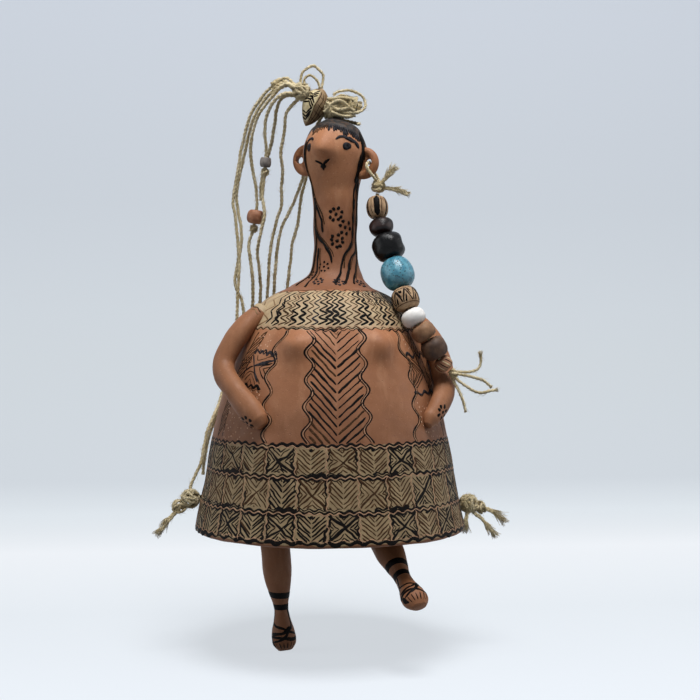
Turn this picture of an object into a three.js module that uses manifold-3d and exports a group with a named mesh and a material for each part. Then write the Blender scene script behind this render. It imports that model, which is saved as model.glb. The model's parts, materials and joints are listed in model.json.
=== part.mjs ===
// A bell doll of fired clay. Its body is a hollow bell, and its two legs hang in the bell's mouth from a cross
// cord, as clappers. Twine hair is tied through the crown, and a string of beads hangs from one ear.
// Millimetres, +Z up, front towards -Y. The origin is the centre of the bell's mouth, in the plane of the hem.
// Left and right are the doll's own: its left is +X. Angles round the body are in degrees from the front,
// positive towards +X.

import * as THREE from 'three';
import { mergeVertices } from 'three/addons/utils/BufferGeometryUtils.js';
import Module from 'manifold-3d';

// Clearances.
const SEAT_GAP = 0.3; // between pieces that touch: luted clay, twine on a knot
const BEAD_GAP = 0.6; // between beads on a string, where the string may bend
const HOLE_PLAY = 0.5; // between a cord and the hole or bore that it passes through, all round

// The bell: outer radii at their heights, and its wall.
const BELL_WALL = 4.5;
const HEM_RADIUS = 67;
const HEM_ROUND = 1.5;
const SKIRT_MIDDLE_HEIGHT = 21.5;
const SKIRT_MIDDLE_RADIUS = 62.8;
const BAND_TOP = 45.2;
const BAND_TOP_RADIUS = 58.7;
const WAIST_HEIGHT = 68;
const WAIST_RADIUS = 53.2;
const CHEST_HEIGHT = 92;
const CHEST_RADIUS = 46;
const SHOULDER_HEIGHT = 107;
const SHOULDER_RADIUS = 38.6;
const COLLAR_HEIGHT = 115;
const COLLAR_RADIUS = 30;
const COLLAR_TOP = 119.5;
const COLLAR_TOP_RADIUS = 19.5;
const LEFT_BREAST_ANGLE = 26;
const RIGHT_BREAST_ANGLE = -23;
const BREAST_HEIGHT = 92;
const BREAST_PROUD = 4.2;
const BREAST_WIDTH = 7.5;

// The neck and the head, on an axis set a little to the doll's left.
const HEAD_OFFSET = 2.6;
const HEAD_WALL = 3.8;
const NECK_FOOT_HEIGHT = 127;
const NECK_FOOT_RADIUS = 13;
const NECK_RADIUS = 10.75;
const NECK_MIDDLE_HEIGHT = 150;
const JAW_HEIGHT = 168;
const JAW_RADIUS = 11.6;
const HEAD_HEIGHT = 186;
const HEAD_RADIUS = 16.2;
const BROW_HEIGHT = 196.5;
const BROW_RADIUS = 13.2;
const CROWN_HEIGHT = 201;
const CROWN_RADIUS = 9.1;
const HEAD_TOP = 204.4;
const FACE_YAW = -26;
const NOSE_HEIGHT = 187;
const NOSE_PROUD = 3.6;
const NOSE_WIDTH = 5.5;

// The ears.
const EAR_SPREAD = 90;
const LEFT_EAR_HEIGHT = 181.2;
const RIGHT_EAR_HEIGHT = 184.4;
const LEFT_EAR_REACH = 8.3;
const RIGHT_EAR_REACH = 7.4;
const EAR_TALL = 16.6;
const EAR_THICK = 4;
const EAR_HOLE_DIAMETER = 3.4;
const EAR_HOLE_REACH = 2.9;

// The arms, as stations from the shoulder to the fingertips.
const LEFT_ARM = [
  { height: 107, angle: 73, standOff: -2, radius: 6 },
  { height: 95, angle: 75, standOff: 4.9, radius: 6.35 },
  { height: 76, angle: 72, standOff: 6.1, radius: 6.6 },
  { height: 66, angle: 62, standOff: 5.6, radius: 5.9 },
  { height: 60, angle: 55, standOff: 3.8, radius: 5.3 },
  { height: 56, angle: 50, standOff: 2.3, radius: 4.4 },
  { height: 53, angle: 47.5, standOff: 1.6, radius: 2.3 },
];
const RIGHT_ARM = [
  { height: 107, angle: -66, standOff: -2, radius: 6 },
  { height: 98, angle: -65, standOff: 4.9, radius: 6.1 },
  { height: 81, angle: -66, standOff: 8, radius: 6 },
  { height: 68.5, angle: -52, standOff: 5.8, radius: 5.7 },
  { height: 60, angle: -42, standOff: 3.6, radius: 6 },
  { height: 55.8, angle: -38, standOff: 2.4, radius: 5 },
  { height: 53.3, angle: -36, standOff: 1.8, radius: 2.4 },
];
const ARM_FLATNESS = 0.85;

// The leg cord, its knots outside the wall, and the loops that hang the legs from it.
const LEG_CORD_DIAMETER = 2.2;
const LEG_CORD_LEFT_HEIGHT = 11;
const LEG_CORD_RIGHT_HEIGHT = 15;
const HEM_KNOT_RADIUS = 4.5;
const LOOP_TWINE = 1.6;
const LOOP_DROP = 6.4;
const LEG_EYE_DIAMETER = 3.4;
const LEG_LUG_THICK = 5;
const LEFT_LEG_PLACE = 19.2;
const LEFT_LEG_SWING = 54; // forward, as if in step
const LEFT_LEG_SPLAY = 14.5; // towards +X
const RIGHT_LEG_PLACE = -29;
const RIGHT_LEG_SWING = 0;
const RIGHT_LEG_SPLAY = 5.5;

// A leg below its eye: how far down, how far forward, half width and half depth.
const LEG_STATIONS = [
  { down: -3.6, forward: 0, wide: 1.6, deep: 1.2 },
  { down: -2.6, forward: 0, wide: 3.9, deep: 2.3 },
  { down: 0, forward: 0, wide: 5.2, deep: LEG_LUG_THICK / 2 },
  { down: 4.5, forward: 0, wide: 6.2, deep: 3.2 },
  { down: 12, forward: 0, wide: 6.9, deep: 6 },
  { down: 28, forward: 0, wide: 7.2, deep: 7 },
  { down: 39, forward: 0, wide: 5.4, deep: 5.6 },
  { down: 47, forward: 0, wide: 3.7, deep: 4.2 },
  { down: 53.5, forward: 0.6, wide: 4.2, deep: 5 },
  { down: 59.5, forward: 1.6, wide: 5.7, deep: 6 },
  { down: 64.5, forward: 2.4, wide: 5.9, deep: 5 },
  { down: 67.8, forward: 2.8, wide: 3.6, deep: 2.6 },
];

// Twine.
const HAIR_TWINE = 1.8;
const TAIL_TWINE = 1.5;
const BUNDLE_DIAMETER = 4.4;
const BEAD_TWINE = 1.8;
const PONYTAIL_KNOT_RADIUS = 3.8;
const PONYTAIL_KNOT_PLACE = [-14.2, 0, 217.5];
const ANCHOR_KNOT_RADIUS = 3.3;
const EAR_KNOT_RADIUS = 3.4;
const END_KNOT_RADIUS = 2.6;

// The bun: twine wound on a core that lies across the crown.
const BUN_LOOPS = 5;
const BUN_PITCH = 2.4;
const BUN_WINDING_RADIUS = 3.5;
const BUN_AXIS_HEIGHT = 211;
const BUN_START = 2.6;
const BUN_CORE_START = 0.6;
const BUN_CORE_END = 15.9;

// The almond bead on the hair bundle: its two tips, and half its width and depth.
const ALMOND_TOP = [-3.8, 0, 219];
const ALMOND_TIP = [-12.2, 0, 200.4];
const ALMOND_HALF_WIDTH = 6.2;
const ALMOND_HALF_DEPTH = 6;

// The nine beads of the string, from the ear down: height along the cord, largest radius and squareness.
const STRING_BEADS = [
  { name: 'string_bead_1_striped', height: 11, radius: 5.4, square: 2.1 },
  { name: 'string_bead_2_dark_brown', height: 8.1, radius: 5.8, square: 2.4 },
  { name: 'string_bead_3_black', height: 13.1, radius: 7.7, square: 2.4 },
  { name: 'string_bead_4_turquoise', height: 15.5, radius: 8, square: 2.4 },
  { name: 'string_bead_5_patterned', height: 11, radius: 6.6, square: 2.5 },
  { name: 'string_bead_6_white', height: 7.9, radius: 6, square: 2.1 },
  { name: 'string_bead_7_tan', height: 7.9, radius: 5.8, square: 2.5 },
  { name: 'string_bead_8_brown', height: 9.8, radius: 6.2, square: 2.6 },
  { name: 'string_bead_9_small', height: 6.3, radius: 4.3, square: 2.3 },
];
const STRING_FREE_LENGTH = 1.7;
// The bead string's route, from the ear knot down over the front of the shoulder to the end knot.
const STRING_ROUTE = [
  [23.3, -8, 169.5],
  [22.8, -8.7, 164.5],
  [22.7, -9.8, 158.5],
  [24.4, -12, 149],
  [27.5, -15.4, 139],
  [31.3, -20.8, 125.5],
  [34.5, -25.7, 113],
  [38, -28.8, 104],
  [42.6, -30, 97.3],
  [47.8, -30, 89.5],
  [52.3, -29.4, 82],
  [57, -28.4, 77.6],
  [60.2, -27.8, 75.4],
];

// The two beads in the hair, each with its stopper knot: how far along the strand, height and radius.
const HAIR_BEADS = [
  { name: 'hair_bead_grey', strand: 'hair_strand_4', along: 0.365, height: 5, radius: 2.9, square: 2.2 },
  { name: 'hair_bead_terracotta', strand: 'hair_strand_3', along: 0.595, height: 7, radius: 4.4, square: 2.3 },
];
const HAIR_KNOT_HEIGHT = 3.4;
const HAIR_KNOT_RADIUS = 2.1;

// The falling strands. The first point of a strand is on the ponytail knot or behind the bun.
const HAIR_STRANDS = {
  hair_strand_1: [
    [-17.4, 0.4, 220.7], [-21.5, 1, 224.3], [-26, 2.5, 222.6], [-32.5, 5, 217], [-39.5, 8, 207],
    [-42, 10, 199], [-44.5, 12, 188.5], [-46.2, 13, 177.5], [-48, 14, 167.5], [-48.3, 14.5, 163],
    [-47, 15, 155], [-46, 15.5, 142.5], [-45.2, 16, 130.5], [-46, 16.5, 118], [-46.3, 17, 108],
    [-47.2, 18.5, 97], [-48.8, 20, 86], [-51.8, 18.5, 73], [-55.6, 14.5, 61.5], [-58.6, 11, 54],
    [-61.4, 8.5, 47], [-62.8, 6.5, 40], [-64, 4.5, 33], [-67, 2.5, 26.5], [-69.3, 1, 20.6],
  ],
  hair_strand_2: [
    [-17.5, 2.8, 218.7], [-22, 5.5, 222], [-30.5, 9.5, 217.5], [-37.5, 13.5, 207.5],
    [-40.5, 16.5, 198.5], [-42.5, 19, 189.5], [-45, 21, 178.5], [-46.8, 22, 168.5], [-46, 22, 160.5],
    [-44.5, 21.5, 153], [-44.3, 21, 143], [-46.6, 21, 130.5], [-47.4, 21, 122], [-44, 21.5, 114],
    [-43, 22.5, 105], [-45, 24, 93.5], [-49.5, 22.6, 75.5], [-54, 18.6, 61.5], [-57.6, 15, 53],
    [-61, 11.5, 43], [-62.5, 9.5, 35], [-63.5, 8.5, 26],
  ],
  hair_strand_3: [
    [-17.7, -2.5, 218.6], [-22.6, -2.4, 220.4], [-29.2, 1.5, 214.5], [-35.5, 5, 206.5],
    [-38.5, 7.5, 197.5], [-39.5, 10, 188], [-38.2, 12, 179], [-36.6, 13, 169], [-36.3, 13.6, 162],
    [-37, 14, 156.5], [-38.2, 14.5, 149.5], [-40.4, 15, 142.5], [-39.4, 16, 133.5], [-38.4, 17, 124.5],
    [-38.4, 20, 114], [-39, 23.5, 105],
  ],
  hair_strand_4: [
    [-17.8, -1.9, 215.6], [-22.6, -2.5, 216], [-27.4, -1.5, 212.6], [-31, 1, 207], [-32.4, 4, 198.5],
    [-31.7, 6.6, 190], [-32, 8, 183], [-32.6, 9, 175.5], [-33.6, 9, 167], [-32.6, 8.8, 157],
    [-34.6, 10, 147], [-36, 12.6, 138.5], [-35.2, 16, 130.5], [-34.4, 20, 122], [-34.8, 25, 112],
  ],
  hair_strand_5: [
    [-17.7, 2, 215.6], [-21.4, 4.2, 216.2], [-24.8, 6.4, 214], [-26.6, 8.4, 209], [-27.2, 10.4, 204],
    [-28.4, 12.4, 196], [-29.8, 13.8, 190], [-32, 15, 183], [-34, 16.4, 174], [-34.2, 17.6, 165],
  ],
  hair_strand_6: [
    [-16.2, 0.5, 213.5], [-18.6, 0.6, 211], [-21.6, 1.4, 207], [-22.6, 3.6, 198.5], [-24.4, 6, 187],
    [-23.4, 8.4, 179.5], [-24, 10.6, 170.5], [-23.8, 12.6, 162.5], [-26, 14.4, 155], [-29, 16.4, 142.5],
    [-30.2, 18, 130.5], [-30.6, 21, 121.5], [-31, 24, 113.6],
  ],
  hair_strand_7: [
    [-1.4, 2.7, 208.7], [-2.6, 6.2, 208], [-4.8, 9.4, 205], [-7, 12.8, 200.5], [-9.4, 15.6, 193.5],
    [-11.2, 18.4, 186], [-12.6, 19.6, 177.5], [-15.4, 19.6, 169], [-20, 19.4, 159], [-23.4, 19.6, 152],
    [-25.4, 20.2, 143], [-26.4, 21.4, 133.5], [-27, 22.4, 125.5], [-27.4, 25, 117.2],
  ],
  hair_strand_8: [
    [0.8, 2.8, 206.9], [0.6, 5.8, 206.6], [-0.6, 10, 204.4], [-4, 15.4, 200], [-7, 18.8, 193],
    [-9.4, 21.8, 184], [-11.4, 22.8, 175], [-13.4, 22.8, 167.5], [-14.2, 22.6, 160.5],
    [-15.6, 22.6, 152], [-18, 22.8, 143], [-19, 23, 133.5], [-20, 23.4, 125.5], [-20.6, 24.6, 119],
  ],
};

// Other loose ends and small loops of twine.
const HAIR_BUNDLE_ROUTE = [
  [HEAD_OFFSET, 0, 199.8], [HEAD_OFFSET, 0, 204.2], [1.7, 0, 206.4], [-1.2, 0, 208.4], [-6.4, 0, 212],
  [-10.9, 0, 215.3],
];
const TALL_LOOP_ROUTE = [
  [-14.4, 0.6, 221.8], [-14.6, 0.6, 224.5], [-13.6, 0.6, 227.2], [-11.2, 0.6, 229.4], [-8.2, 0.6, 230.5],
  [-5.4, 0.6, 228.6], [-3.4, 0.6, 226.2], [-3.6, 0.6, 223.4], [-4, 0.6, 220.4],
];
const SMALL_LOOP_ROUTE = [
  [-12.8, -1.8, 221.4], [-12.8, -2, 223.6], [-10.4, -2.2, 225.1], [-8, -2.2, 224], [-6.2, -2, 222],
  [-5.3, -1.8, 219.6],
];
const TOPKNOT_LOOP_ROUTE = [
  [1.6, -1.8, 215.4], [3, -2.2, 216.7], [5.4, -2.4, 217.5], [8.7, -2.4, 218], [12, -2.4, 217.3],
  [15.2, -2.2, 215.8], [17.2, -2, 213], [17.4, -2.6, 210], [15, -4.2, 207.2], [10.2, -4.6, 206.4],
  [5.6, -4.6, 206.6],
];
const TOPKNOT_LAP_ROUTE = [
  [5, 4.4, 204.9], [9.4, 5.2, 203.9], [12.8, 3.4, 202.8], [14.3, 0, 201.8], [14.3, -3.6, 201],
  [13.5, -6.4, 200.3],
];
const EAR_TAIL_ROUTES = {
  ear_tail_1: [[25.3, -10.2, 172], [28, -11.2, 175], [30.4, -11, 177.4]],
  ear_tail_2: [[26.9, -8.8, 168.9], [31, -9.2, 168.3], [34.4, -9.2, 167.2], [37.6, -9, 166]],
};
const END_TAIL_ROUTES = {
  end_tail_1: [
    [60.1, -27, 78], [65, -26.4, 78], [69.6, -25.6, 79.2], [71.3, -25.4, 82.4], [71.2, -25.4, 86.5],
  ],
  end_tail_2: [[60.3, -29.6, 76.8], [66.4, -28.8, 75.6], [72.2, -27, 73.8], [76.4, -26, 70.6]],
  end_tail_3: [[59, -29.6, 74.7], [63.6, -30.4, 71], [69, -30.2, 68.2], [78.4, -29.6, 69.4]],
  end_tail_4: [[57.3, -28.3, 74.1], [60, -30, 68.6], [61.8, -30.8, 63.8], [63, -31.2, 58.8]],
};
const HEM_TAIL_ROUTES = {
  left_hem_tail_1: [[75.2, -0.4, 9.6], [78, -1.2, 9], [82, -1.8, 7.6], [86, -2.6, 4]],
  left_hem_tail_2: [[72.4, -1.6, 7], [76, -3, 4.2], [79, -4, 0.4], [81.4, -4.6, -2.6]],
  left_hem_tail_3: [[68.8, -2.2, 6.4], [68.2, -3, 4], [67.8, -3.4, 0.6]],
  right_hem_tail: [[-72.9, -0.9, 12.2], [-76.4, -1.8, 9.2], [-80.2, -2.6, 5], [-83.6, -3.4, 0.4]],
};

// Fineness of the faceted surfaces.
const BELL_FACETS = 40;
const HEAD_FACETS = 28;
const LIMB_FACETS = 14;
const BEAD_FACETS = 12;
const CORD_SIDES = 8;
const RING_STEPS = 16;
const CORD_STEP = 2.9; // length of one step of a cord, in diameters
const LOOP_STEPS = 24;
const LOOP_SIDES = 6;

const CLAY = { color: 0xa5694b, roughness: 0.85 };
const TWINE = { color: 0xb5a27c, roughness: 0.95 };
const BEAD_COLOURS = [
  0xb08d64, 0x3f322c, 0x1d1b1c, 0x3f8ea8, 0x9a7a55, 0xdedad4, 0x98765a, 0x4a3a31, 0x8c6a4c,
];

const wasm = await Module();
wasm.setup();
const doll = new THREE.Group();

const vec = (p) => new THREE.Vector3(...p);
const radians = THREE.MathUtils.degToRad;
const routeOf = (points) => new THREE.CatmullRomCurve3(points.map(vec), false, 'centripetal');

// The point at an angle round a vertical axis through (offset, 0).
function around(angle, radius, height, offset = 0) {
  const turn = radians(angle);
  return new THREE.Vector3(offset + radius * Math.sin(turn), -radius * Math.cos(turn), height);
}

// Turns a geometry inside out if its faces point in.
function facingOut(geometry) {
  const { position } = geometry.attributes;
  const order = geometry.index ? geometry.index.array : [...Array(position.count).keys()];
  const [a, b, c] = [new THREE.Vector3(), new THREE.Vector3(), new THREE.Vector3()];
  let volume = 0;
  for (let i = 0; i < order.length; i += 3) {
    a.fromBufferAttribute(position, order[i]);
    b.fromBufferAttribute(position, order[i + 1]);
    c.fromBufferAttribute(position, order[i + 2]);
    volume += a.dot(b.cross(c));
  }
  if (volume < 0) {
    geometry.setIndex([...order].reverse());
  }
  geometry.computeVertexNormals();
  return geometry;
}

// A surface through rings of points. With caps its two ends are closed, and otherwise it closes on itself.
function loft(rings, caps) {
  const count = rings[0].length;
  const points = rings.flat();
  const index = [];
  for (let i = 0; i < rings.length - (caps ? 1 : 0); i++) {
    const low = i * count;
    const high = ((i + 1) % rings.length) * count;
    for (let j = 0; j < count; j++) {
      const next = (j + 1) % count;
      index.push(low + j, low + next, high + next, low + j, high + next, high + j);
    }
  }
  if (caps) {
    for (const [ring, start] of [[rings[0], 0], [rings.at(-1), points.length - count]]) {
      const middle = ring.reduce((sum, p) => sum.add(p), new THREE.Vector3()).divideScalar(count);
      const apex = points.push(middle) - 1;
      for (let j = 0; j < count; j++) {
        const edge = [start + j, start + ((j + 1) % count)];
        index.push(...(start ? edge : edge.reverse()), apex);
      }
    }
  }
  const geometry = new THREE.BufferGeometry().setFromPoints(points);
  geometry.setIndex(index);
  return facingOut(geometry);
}

function solidOf(geometry) {
  const bare = geometry.clone();
  bare.deleteAttribute('normal');
  bare.deleteAttribute('uv');
  const merged = mergeVertices(bare, 1e-4);
  return new wasm.Manifold(new wasm.Mesh({
    numProp: 3,
    vertProperties: new Float32Array(merged.attributes.position.array),
    triVerts: new Uint32Array(merged.index.array),
  }));
}

function geometryOf(solid) {
  const mesh = solid.getMesh();
  const geometry = new THREE.BufferGeometry();
  geometry.setAttribute('position', new THREE.BufferAttribute(mesh.vertProperties, 3));
  geometry.setIndex(new THREE.BufferAttribute(mesh.triVerts, 1));
  return facingOut(geometry);
}

function without(geometry, ...cutters) {
  const cut = cutters.reduce((solid, cutter) => solid.subtract(solidOf(cutter)), solidOf(geometry));
  return geometryOf(cut);
}

// A round cutter along a direction, through a point.
function drill(place, direction, diameter, length) {
  const bit = new THREE.CylinderGeometry(diameter / 2, diameter / 2, length, 16);
  const own = new THREE.Vector3(0, 1, 0);
  const turn = new THREE.Quaternion().setFromUnitVectors(own, direction.clone().normalize());
  return bit.applyQuaternion(turn).translate(place.x, place.y, place.z);
}

function add(name, geometry, look) {
  const mesh = new THREE.Mesh(geometry, new THREE.MeshStandardMaterial({ metalness: 0, ...look }));
  mesh.name = name;
  doll.add(mesh);
  return mesh;
}

// A cord of round section along a curve.
function cordGeometry(curve, diameter, sides = CORD_SIDES) {
  const corners = Array.from({ length: sides }, (_, i) => {
    const turn = (2 * Math.PI * i) / sides;
    return new THREE.Vector2(Math.cos(turn), Math.sin(turn)).multiplyScalar(diameter / 2);
  });
  const steps = Math.max(4, Math.round(curve.getLength() / (CORD_STEP * diameter)));
  const geometry = new THREE.ExtrudeGeometry(new THREE.Shape(corners), {
    steps,
    extrudePath: curve,
    bevelEnabled: false,
  });
  return facingOut(mergeVertices(geometry.deleteAttribute('normal').deleteAttribute('uv'), 1e-4));
}

// A closed ring of cord through points in one plane whose normal is given.
function ringGeometry(points, normal, diameter) {
  const curve = new THREE.CatmullRomCurve3(points, true, 'centripetal');
  const rings = curve.getSpacedPoints(RING_STEPS).slice(0, -1).map((centre, i) => {
    const side = curve.getTangentAt(i / RING_STEPS).cross(normal).normalize();
    return Array.from({ length: CORD_SIDES }, (_, j) => {
      const turn = (2 * Math.PI * j) / CORD_SIDES;
      const offset = side.clone().multiplyScalar(Math.cos(turn)).addScaledVector(normal, Math.sin(turn));
      return centre.clone().addScaledVector(offset, diameter / 2);
    });
  });
  return loft(rings, false);
}

// A lumpy knot that stays inside a sphere: the twine's turns press slanting grooves into it.
function knotGeometry(radius, lobes, groove) {
  const rings = [];
  for (let i = 1; i < 8; i++) {
    const polar = (Math.PI * i) / 8;
    rings.push(Array.from({ length: 12 }, (_, j) => {
      const turn = (2 * Math.PI * j) / 12;
      const dent = groove * Math.sin(polar) ** 2 * (0.5 + 0.5 * Math.cos(lobes * turn + 2 * polar));
      return new THREE.Vector3().setFromSphericalCoords(radius * (1 - dent), polar, turn);
    }));
  }
  return loft(rings, true);
}

// A bead round Z with a bore along Z.
function beadGeometry(height, radius, boreDiameter, square) {
  const bore = boreDiameter / 2;
  const steps = 6;
  const outline = [];
  for (let i = 0; i <= steps; i++) {
    const along = -Math.cos((Math.PI * i) / steps);
    const bulge = (1 - Math.abs(along) ** square) ** (1 / square);
    outline.push(new THREE.Vector2(bore + 0.5 + (radius - bore - 0.5) * bulge, (along * height) / 2));
  }
  outline.push(new THREE.Vector2(bore, height / 2), new THREE.Vector2(bore, -height / 2), outline[0].clone());
  const geometry = new THREE.LatheGeometry(outline, BEAD_FACETS).rotateX(Math.PI / 2);
  return facingOut(mergeVertices(geometry.deleteAttribute('normal').deleteAttribute('uv'), 1e-4));
}

// The bell

const bellOutline = new THREE.SplineCurve([
  new THREE.Vector2(HEM_RADIUS, HEM_ROUND),
  new THREE.Vector2(SKIRT_MIDDLE_RADIUS, SKIRT_MIDDLE_HEIGHT),
  new THREE.Vector2(BAND_TOP_RADIUS, BAND_TOP),
  new THREE.Vector2(WAIST_RADIUS, WAIST_HEIGHT),
  new THREE.Vector2(CHEST_RADIUS, CHEST_HEIGHT),
  new THREE.Vector2(SHOULDER_RADIUS, SHOULDER_HEIGHT),
  new THREE.Vector2(COLLAR_RADIUS, COLLAR_HEIGHT),
  new THREE.Vector2(COLLAR_TOP_RADIUS, COLLAR_TOP),
]).getPoints(160);

// The bell's outer radius at a height.
function bellRadius(height) {
  const above = bellOutline.findIndex((p) => p.y >= height);
  if (above < 1) {
    return above ? COLLAR_TOP_RADIUS : HEM_RADIUS;
  }
  const [a, b] = [bellOutline[above - 1], bellOutline[above]];
  return a.x + ((b.x - a.x) * (height - a.y)) / (b.y - a.y);
}

function breastSwell(angle, height) {
  const middle = angle > 0 ? LEFT_BREAST_ANGLE : RIGHT_BREAST_ANGLE;
  const across = (radians(angle - middle) * bellRadius(height)) / BREAST_WIDTH;
  const along = (height - BREAST_HEIGHT) / (BREAST_WIDTH * (height > BREAST_HEIGHT ? 0.8 : 1.2));
  return BREAST_PROUD * Math.exp(-(across ** 2) - along ** 2);
}

function bellRing(radius, height, swells) {
  return Array.from({ length: BELL_FACETS }, (_, i) => {
    const angle = (360 * i) / BELL_FACETS - 180;
    return around(angle, radius + (swells ? breastSwell(angle, height) : 0), height);
  });
}

function bellOuterRings(growth) {
  const heights = [HEM_ROUND, 11, SKIRT_MIDDLE_HEIGHT, 33, BAND_TOP, 57, WAIST_HEIGHT, 76, 83, 88,
    CHEST_HEIGHT, 96, 101, SHOULDER_HEIGHT, 111, COLLAR_HEIGHT, 117.6];
  const rings = heights.map((height) => bellRing(bellRadius(height) + growth, height, true));
  const hem = bellRing(HEM_RADIUS - 1 + growth, 0, false);
  return [hem, ...rings, bellRing(COLLAR_TOP_RADIUS + growth, COLLAR_TOP, false)];
}

function bellGeometry() {
  const innerHeights = [COLLAR_TOP, COLLAR_HEIGHT - 1.5, SHOULDER_HEIGHT - 2, CHEST_HEIGHT, WAIST_HEIGHT,
    BAND_TOP, SKIRT_MIDDLE_HEIGHT, 0];
  const inner = innerHeights.map((height) => bellRing(bellRadius(height) - BELL_WALL, height, false));
  const shell = loft([...bellOuterRings(0), ...inner], false);
  const holes = [[1, LEG_CORD_LEFT_HEIGHT], [-1, LEG_CORD_RIGHT_HEIGHT]].map(([side, height]) => {
    const place = new THREE.Vector3(side * bellRadius(height), 0, height);
    return drill(place, new THREE.Vector3(1, 0, 0), LEG_CORD_DIAMETER + 2 * HOLE_PLAY, 6 * BELL_WALL);
  });
  return without(shell, ...holes);
}

add('bell_body', bellGeometry(), CLAY);

// The neck and the head

const CROWN_HOLE_DIAMETER = BUNDLE_DIAMETER + 2 * HOLE_PLAY;
const headOutline = new THREE.SplineCurve([
  new THREE.Vector2(COLLAR_TOP_RADIUS, COLLAR_TOP),
  new THREE.Vector2(NECK_FOOT_RADIUS, NECK_FOOT_HEIGHT),
  new THREE.Vector2(NECK_RADIUS, (NECK_FOOT_HEIGHT + NECK_MIDDLE_HEIGHT) / 2),
  new THREE.Vector2(NECK_RADIUS, NECK_MIDDLE_HEIGHT),
  new THREE.Vector2(JAW_RADIUS, JAW_HEIGHT),
  new THREE.Vector2(HEAD_RADIUS, HEAD_HEIGHT),
  new THREE.Vector2(BROW_RADIUS, BROW_HEIGHT),
  new THREE.Vector2(CROWN_RADIUS, CROWN_HEIGHT),
  new THREE.Vector2(CROWN_HOLE_DIAMETER / 2, HEAD_TOP),
]).getPoints(160);

function headRadius(height) {
  const above = Math.max(1, headOutline.findIndex((p) => p.y >= height));
  const [a, b] = [headOutline[above - 1], headOutline[above]];
  return a.x + ((b.x - a.x) * (height - a.y)) / (b.y - a.y);
}

// The neck's axis leaves the bell's axis over the height of its foot.
function neckOffset(height) {
  return HEAD_OFFSET * THREE.MathUtils.smoothstep(height, COLLAR_TOP, NECK_FOOT_HEIGHT);
}

// The nose is a soft ridge whose lower side is steeper.
function noseSwell(angle, height) {
  const across = (radians(angle - FACE_YAW) * HEAD_RADIUS) / NOSE_WIDTH;
  const along = (height - NOSE_HEIGHT) / (NOSE_WIDTH * (height > NOSE_HEIGHT ? 1.5 : 0.9));
  return NOSE_PROUD * Math.exp(-(across ** 2) - along ** 2);
}

function headRing(radius, height, swells) {
  return Array.from({ length: HEAD_FACETS }, (_, i) => {
    const angle = (360 * i) / HEAD_FACETS - 180;
    return around(angle, radius + (swells ? noseSwell(angle, height) : 0), height, neckOffset(height));
  });
}

function headOuterRings(growth) {
  const heights = [COLLAR_TOP, 121, 123.5, NECK_FOOT_HEIGHT, 134, NECK_MIDDLE_HEIGHT, 161, JAW_HEIGHT, 173,
    178, 181, 184, 187, 190, 193, BROW_HEIGHT, 199, CROWN_HEIGHT, 203];
  return heights.map((height) => headRing(headRadius(height) + growth, height, true));
}

function headGeometry() {
  const rim = [
    headRing(CROWN_HOLE_DIAMETER / 2, HEAD_TOP, false),
    headRing(CROWN_HOLE_DIAMETER / 2, HEAD_TOP - HEAD_WALL, false),
  ];
  const innerHeights = [BROW_HEIGHT, HEAD_HEIGHT, JAW_HEIGHT, NECK_MIDDLE_HEIGHT, NECK_FOOT_HEIGHT,
    COLLAR_TOP];
  const inner = innerHeights.map((height) => headRing(headRadius(height) - HEAD_WALL, height, false));
  return loft([...headOuterRings(0), ...rim, ...inner], false);
}

add('neck_and_head', headGeometry(), CLAY);

// The ears: upright plates set on the sides of the head, each with a hole

function earGeometry(angle, height, reach) {
  const middle = headRadius(height);
  const outline = new THREE.Shape();
  outline.moveTo(middle - 6, -EAR_TALL / 2);
  outline.lineTo(middle, -EAR_TALL / 2);
  outline.absellipse(middle, 0, reach, EAR_TALL / 2, -Math.PI / 2, Math.PI / 2, false, 0);
  outline.lineTo(middle - 6, EAR_TALL / 2);
  const round = 0.9;
  const plate = new THREE.ExtrudeGeometry(outline, {
    depth: EAR_THICK - 2 * round,
    bevelThickness: round,
    bevelSize: round,
    bevelOffset: -round,
    bevelSegments: 1,
    curveSegments: 12,
  }).translate(0, 0, -(EAR_THICK / 2 - round));
  const radial = around(angle, 1, 0);
  const up = new THREE.Vector3(0, 0, 1);
  const place = new THREE.Matrix4().makeBasis(radial, up, radial.clone().cross(up));
  place.setPosition(HEAD_OFFSET, 0, height);
  plate.applyMatrix4(place);
  return without(
    plate,
    loft(headOuterRings(SEAT_GAP), true),
    drill(earHole(angle, height), radial.clone().cross(up), EAR_HOLE_DIAMETER, 3 * EAR_THICK),
  );
}

function earHole(angle, height) {
  return around(angle, headRadius(height) + EAR_HOLE_REACH, height, HEAD_OFFSET);
}

const LEFT_EAR_ANGLE = FACE_YAW + EAR_SPREAD;
add('left_ear', earGeometry(LEFT_EAR_ANGLE, LEFT_EAR_HEIGHT, LEFT_EAR_REACH), CLAY);
add('right_ear', earGeometry(FACE_YAW - EAR_SPREAD, RIGHT_EAR_HEIGHT, RIGHT_EAR_REACH), CLAY);

// The arms: rolled clay, cut to the bell's surface where they are luted on at shoulder and hand

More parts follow.
